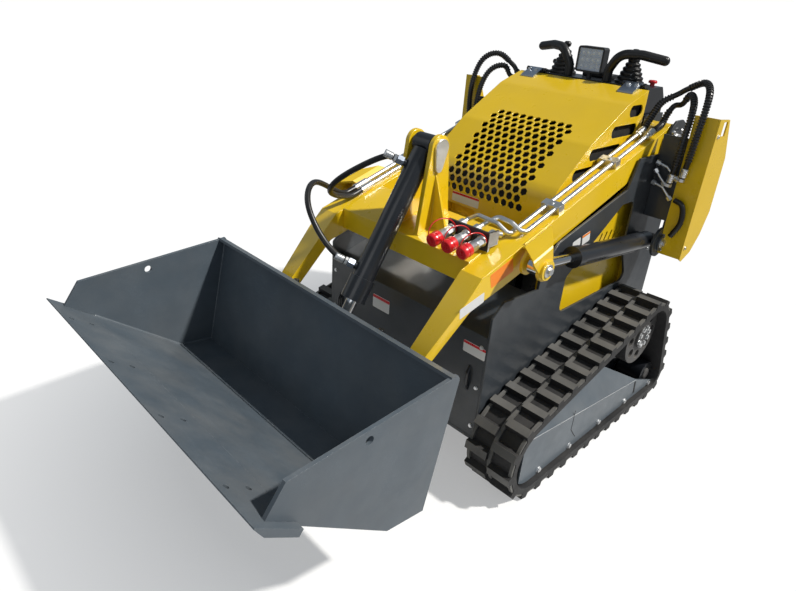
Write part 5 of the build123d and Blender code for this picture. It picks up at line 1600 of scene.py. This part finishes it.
@dataclass
class Trim:
    """Tie-down loops, rounded ends of the hand grips, the dark seams of the track covers, and a thin zinc strip along
    each cover's fold that is a painted highlight of the bent edge.
    """

    finishes: Finishes
    repeats: Repeats
    loop_x: float = 300.0
    loop: Sequence[Pair] = ((-205, 392), (-234, 384), (-234, 318), (-205, 310))
    cover_x: float = 514.0
    seams: Sequence[tuple[Pair, Pair, float]] = (((97, 206), (99, 126), 2.4), ((99, 127), (139, 79), 2.4),
                                                 ((553, 118), (566, 62), 11))
    seam_out: float = 0.6
    # Side-view line (y, z) of each track cover's fold; the thin zinc tube laid along it is a painted highlight of the
    # bent edge
    highlight_line: Sequence[Pair] = ((-172, 222.6), (556, 124.2))
    grip_radius: float = 16.0
    grip_length: float = 15.0
    grip_end: Point = (248, 742, 1212)

    def build(self) -> None:
        """Builds the pieces of both sides."""
        for side, s in SIDES:
            line = Run([(s * self.loop_x, *at) for at in self.loop])
            self.finishes.seat(f"tie_down_{side}", line.tube(6), Finishes.BLACK, "machine")
            seams = Shapes.joined([self._strip(s, *seam) for seam in self.seams])
            self.finishes.seat(f"cover_seams_{side}", seams, Finishes.SCREEN, "machine")
            # Thin zinc tube along the cover's fold line: a painted highlight of the bent edge, not a part of its own
            ridge = Run([(s * (self.cover_x - self.seam_out), *at) for at in self.highlight_line])
            self.finishes.seat(f"cover_fold_{side}", ridge.tube(1.5, 8), Finishes.ZINC, "machine")
        r, length = self.grip_radius, self.grip_length
        round_off = [(r * math.cos(t), length * math.sin(t)) for t in (0.0, 0.3, 0.6, 0.9, 1.2, 1.4)]
        dome = Shapes.lathe([(r, -0.5), *round_off, (0, length)], 24)
        x, y, z = self.grip_end
        ends = [Spot(mm(s * x, y, z), Vector((s * 70, 30, -12)).normalized()) for _, s in SIDES]
        self.repeats.place("grip_ends", "machine", dome, Finishes.GRIP, ends)

    def _strip(self, s: int, start: Pair, end: Pair, width: float) -> bpy.types.Mesh:
        """Thin dark strip on a track cover's face between two points (y, z).

        Args:
            s: the side, 1 for left and -1 for right.
            start: one end.
            end: the other end.
            width: the strip's width.

        Returns:
            The new mesh.
        """
        a, b = Vector(start), Vector(end)
        along = (b - a).normalized() * 0.5
        side = Vector((-along.y, along.x)) * width
        mesh = Shapes.prism([tuple(p) for p in (a - side, b - side, b + side, a + side)], 0, self.seam_out)
        mesh.transform(sideways(s * self.cover_x - (self.seam_out if s < 0 else 0.0)))
        return mesh


@dataclass
class Platform:
    """Raised tread pattern on the operator's platform."""

    repeats: Repeats
    rows: int = 8
    columns: int = 17
    pitch: float = 27.0
    first: Point = (-216, 872, 204)
    lozenge: Sequence[Pair] = ((-11, 0), (-4, -3.4), (4, -3.4), (11, 0), (4, 3.4), (-4, 3.4))

    def build(self) -> None:
        """Builds the pattern."""
        x, y, z = self.first
        spots = []
        for row in range(self.rows):
            for column in range(self.columns):
                turn = math.radians(45 if (row + column) % 2 else -45)
                along = Vector((math.cos(turn), math.sin(turn), 0))
                spots.append(Spot(mm(x + self.pitch * column, y + self.pitch * row, z), along=along))
        shape = Shapes.prism(self.lozenge, -0.4, 1.6)
        self.repeats.place("platform_tread", "platform", shape, Finishes.BLACK, spots)


@dataclass
class Studio:
    """Floor, soft lights and the camera at the photograph's angle."""

    eye: Point = (1.1869, -1.4496, 1.3681)
    azimuth: float = 44.128
    down: float = 26.765
    roll: float = 4.178
    focal_px: float = 603.413
    image_width_px: float = 796.0
    sensor: float = 36.0
    middle: Point = (0.0, 0.0, 0.5)
    sun_from: Point = (0.62, 0.40, 0.80)
    sun_strength: float = 4.3
    sun_width: float = 3.0
    lamps: Sequence[tuple[str, Point, float, float]] = (("front", (1.6, -4.2, 2.6), 2.4, 14.0),
                                                        ("fill", (-3.6, -2.0, 2.6), 3.0, 12.0))
    sky: float = 0.24
    white: float = 1.02
    floor_glow: float = 0.25

    def camera(self) -> None:
        """Makes the camera."""
        data = bpy.data.cameras.new("camera")
        data.sensor_width = self.sensor
        data.lens = self.focal_px * self.sensor / self.image_width_px
        data.clip_start = 0.02
        az, el, roll = (math.radians(v) for v in (self.azimuth, self.down, self.roll))
        ahead = Vector((-math.sin(az) * math.cos(el), math.cos(az) * math.cos(el), -math.sin(el)))
        right = Vector((math.cos(az), math.sin(az), 0.0))
        up = right.cross(ahead)
        turned_right = right * math.cos(roll) + up * math.sin(roll)
        turned_up = up * math.cos(roll) - right * math.sin(roll)
        matrix = Matrix((turned_right, turned_up, -ahead)).transposed().to_4x4()
        matrix.translation = Vector(self.eye)
        camera = link("camera", data)
        camera.matrix_world = matrix
        bpy.context.scene.camera = camera

    def floor(self) -> None:
        """Makes a pale floor that turns to even white away from the machine."""
        mesh = bpy.data.meshes.new("floor")
        mesh.from_pydata([(-30, -30, 0), (30, -30, 0), (30, 30, 0), (-30, 30, 0)], [], [(0, 1, 2, 3)])
        floor = link("floor", mesh)
        material = bpy.data.materials.new("floor")
        material.use_nodes = True
        nodes = Nodes(material.node_tree)
        shader = material.node_tree.nodes["Principled BSDF"]
        shader.inputs["Base Color"].default_value = (0.9, 0.9, 0.9, 1)
        shader.inputs["Roughness"].default_value = 0.9
        shader.inputs["Specular IOR Level"].default_value = 0.1
        where = nodes.add("ShaderNodeTexCoord").outputs["Object"]
        far = nodes.add("ShaderNodeVectorMath", {0: where}, operation="LENGTH").outputs["Value"]
        shown = nodes.add("ShaderNodeLightPath").outputs["Is Camera Ray"]
        strength = nodes.between(shown, 0.0, 1.0, self.floor_glow, self.white)
        white = nodes.add("ShaderNodeEmission", {"Color": (1, 1, 1, 1), "Strength": strength})
        mixed = nodes.add("ShaderNodeMixShader",
                          {0: nodes.between(far, 0.9, 2.3, 0.35, 1.0), 1: shader.outputs[0], 2: white.outputs[0]})
        nodes.tree.links.new(mixed.outputs[0], material.node_tree.nodes["Material Output"].inputs["Surface"])
        mesh.materials.append(material)

    def lamp(self, name: str, at: Point, size: float, power: float) -> None:
        """Makes one square area lamp that faces the machine.

        Args:
            name: the lamp's name.
            at: its place.
            size: side of its square, in metres.
            power: its power in watts.
        """
        data = bpy.data.lights.new(name, "AREA")
        data.size = size
        data.energy = power
        lamp = link(name, data)
        lamp.location = at
        lamp.rotation_euler = (Vector(self.middle) - Vector(at)).to_track_quat("-Z", "Y").to_euler()

    def sun(self) -> None:
        """Makes the sun."""
        data = bpy.data.lights.new("sun", "SUN")
        data.energy = self.sun_strength
        data.angle = math.radians(self.sun_width)
        data.color = (1.0, 0.97, 0.92)
        link("sun", data).rotation_euler = Vector(self.sun_from).to_track_quat("Z", "Y").to_euler()

    def world(self) -> None:
        """Makes an even pale sky that shows white to the camera."""
        world = bpy.data.worlds.new("world")
        bpy.context.scene.world = world
        world.use_nodes = True
        nodes = Nodes(world.node_tree)
        shown = nodes.add("ShaderNodeLightPath").outputs["Is Camera Ray"]
        background = world.node_tree.nodes["Background"]
        colour = nodes.mix(shown, (0.72, 0.86, 1.0, 1), (1, 1, 1, 1))
        nodes.tree.links.new(colour, background.inputs["Color"])
        nodes.tree.links.new(nodes.between(shown, 0.0, 1.0, self.sky, self.white), background.inputs["Strength"])

    def build(self) -> None:
        """Builds the stage."""
        bpy.context.scene.view_settings.view_transform = "Standard"
        self.camera()
        self.floor()
        self.world()
        self.sun()
        for lamp in self.lamps:
            self.lamp(*lamp)


# Nodes that keep their CAD mesh, and those that a class above replaces
PLAIN_NODES = ("track_left", "track_right", "quick_couplers", "lamp_lens", "thigh_pad", "arm_hoses", "tower_hoses",
               "tilt_hoses", "engine_block", "hinge_pins", "rollers", "idler")

# Looks by the start of a node's name: the first that fits holds, and black paint is for all others
LOOKS: dict[str, Look] = {
    "hood_hinges": Look(Finishes.BLUE_ZINC),
    "cross_member": Look(Finishes.YELLOW, 0.002),
    "lift_arm": Look(Finishes.YELLOW, 0.002),
    "fender": Look(Finishes.YELLOW, 0.002),
    "track_cover": Look(Finishes.GREY, 0.003),
    "sprocket": Look(Finishes.CAST),
    "work_lamp": Look(Finishes.LAMP),
    "lamp_lens": Look(Finishes.GLASS),
    **dict.fromkeys(("hood", "engine_panels"), Look(Finishes.YELLOW)),
    **dict.fromkeys(("bucket", "cutting_edge", "mount_plate"), Look(Finishes.GREY)),
    **dict.fromkeys(("tilt_rod", "lift_rod"), Look(Finishes.ROD)),
    **dict.fromkeys(("thigh_pad", "joysticks", "handlebar"), Look(Finishes.GRIP)),
    **dict.fromkeys(("aux_pipes", "tilt_pipes", "tilt_pin"), Look(Finishes.ZINC)),
    **dict.fromkeys(("side_plate", "tower_left", "tower_right", "front_plate", "rear_panel", "belly_pan"),
                    Look(Finishes.FRAME)),
}

FROM_FRONT, FROM_LEFT = (0, 1, 0), (-1, 0, 0)
LABELS = (
    Label("hood_label", "hood", (-65, 0, 742), FROM_FRONT, (0, 0, 1), 118, 34, Finishes.WHITE, Finishes.RED),
    Label("arm_label_orange", "lift_arm_left", (450, -179, 702), FROM_LEFT, (0, -0.3, 1), 98, 44, Finishes.ORANGE),
    Label("leg_label", "lift_arm_left", (450, -291, 636), FROM_LEFT, (0, -0.28, 1), 96, 36, Finishes.WHITE),
    Label("front_label_left", "front_plate", (307, -400, 450), FROM_FRONT, (0, 0, 1), 82, 38,
          Finishes.WHITE, Finishes.RED),
    Label("front_label_right", "front_plate", (-93, -400, 434), FROM_FRONT, (0, 0, 1), 80, 48,
          Finishes.WHITE, Finishes.RED),
    Label("side_label_front", "side_plate_left", (450, 178, 710), FROM_LEFT, (0, -0.2, 1), 44, 26, Finishes.WHITE),
    Label("side_label_rear", "side_plate_left", (450, 232, 716), FROM_LEFT, (0, -0.2, 1), 44, 34,
          Finishes.WHITE, Finishes.ORANGE),
)


def look_of(node: str) -> Look:
    """Look of a CAD node."""
    return next((look for start, look in LOOKS.items() if node.startswith(start)), Look(Finishes.BLACK))


def main() -> None:
    """Builds the loader's looks around the frame."""
    logging.basicConfig(level=logging.INFO, format="%(name)s: %(message)s")
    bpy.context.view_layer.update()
    Studio().build()
    finishes = Finishes()
    panels = Panels(finishes)
    repeats = Repeats(finishes)
    for node in frame["nodes"]:
        if not node.startswith(PLAIN_NODES):
            panels.soften(node, look_of(node))
    for part in (Tracks(finishes, panels), Fasteners(repeats), Hoses(finishes, repeats), Couplers(finishes, repeats),
                 Lamp(repeats), Hood(finishes), Welds(repeats), Console(finishes, repeats), Trim(finishes, repeats),
                 Platform(repeats), Labels(finishes, LABELS)):
        part.build()
    for name, node in frame["nodes"].items():
        if not node.hide_render:
            finishes.dress(node, look_of(name).finish)
            log.info("%s keeps its own mesh", name)


if __name__ == "__main__":
    main()
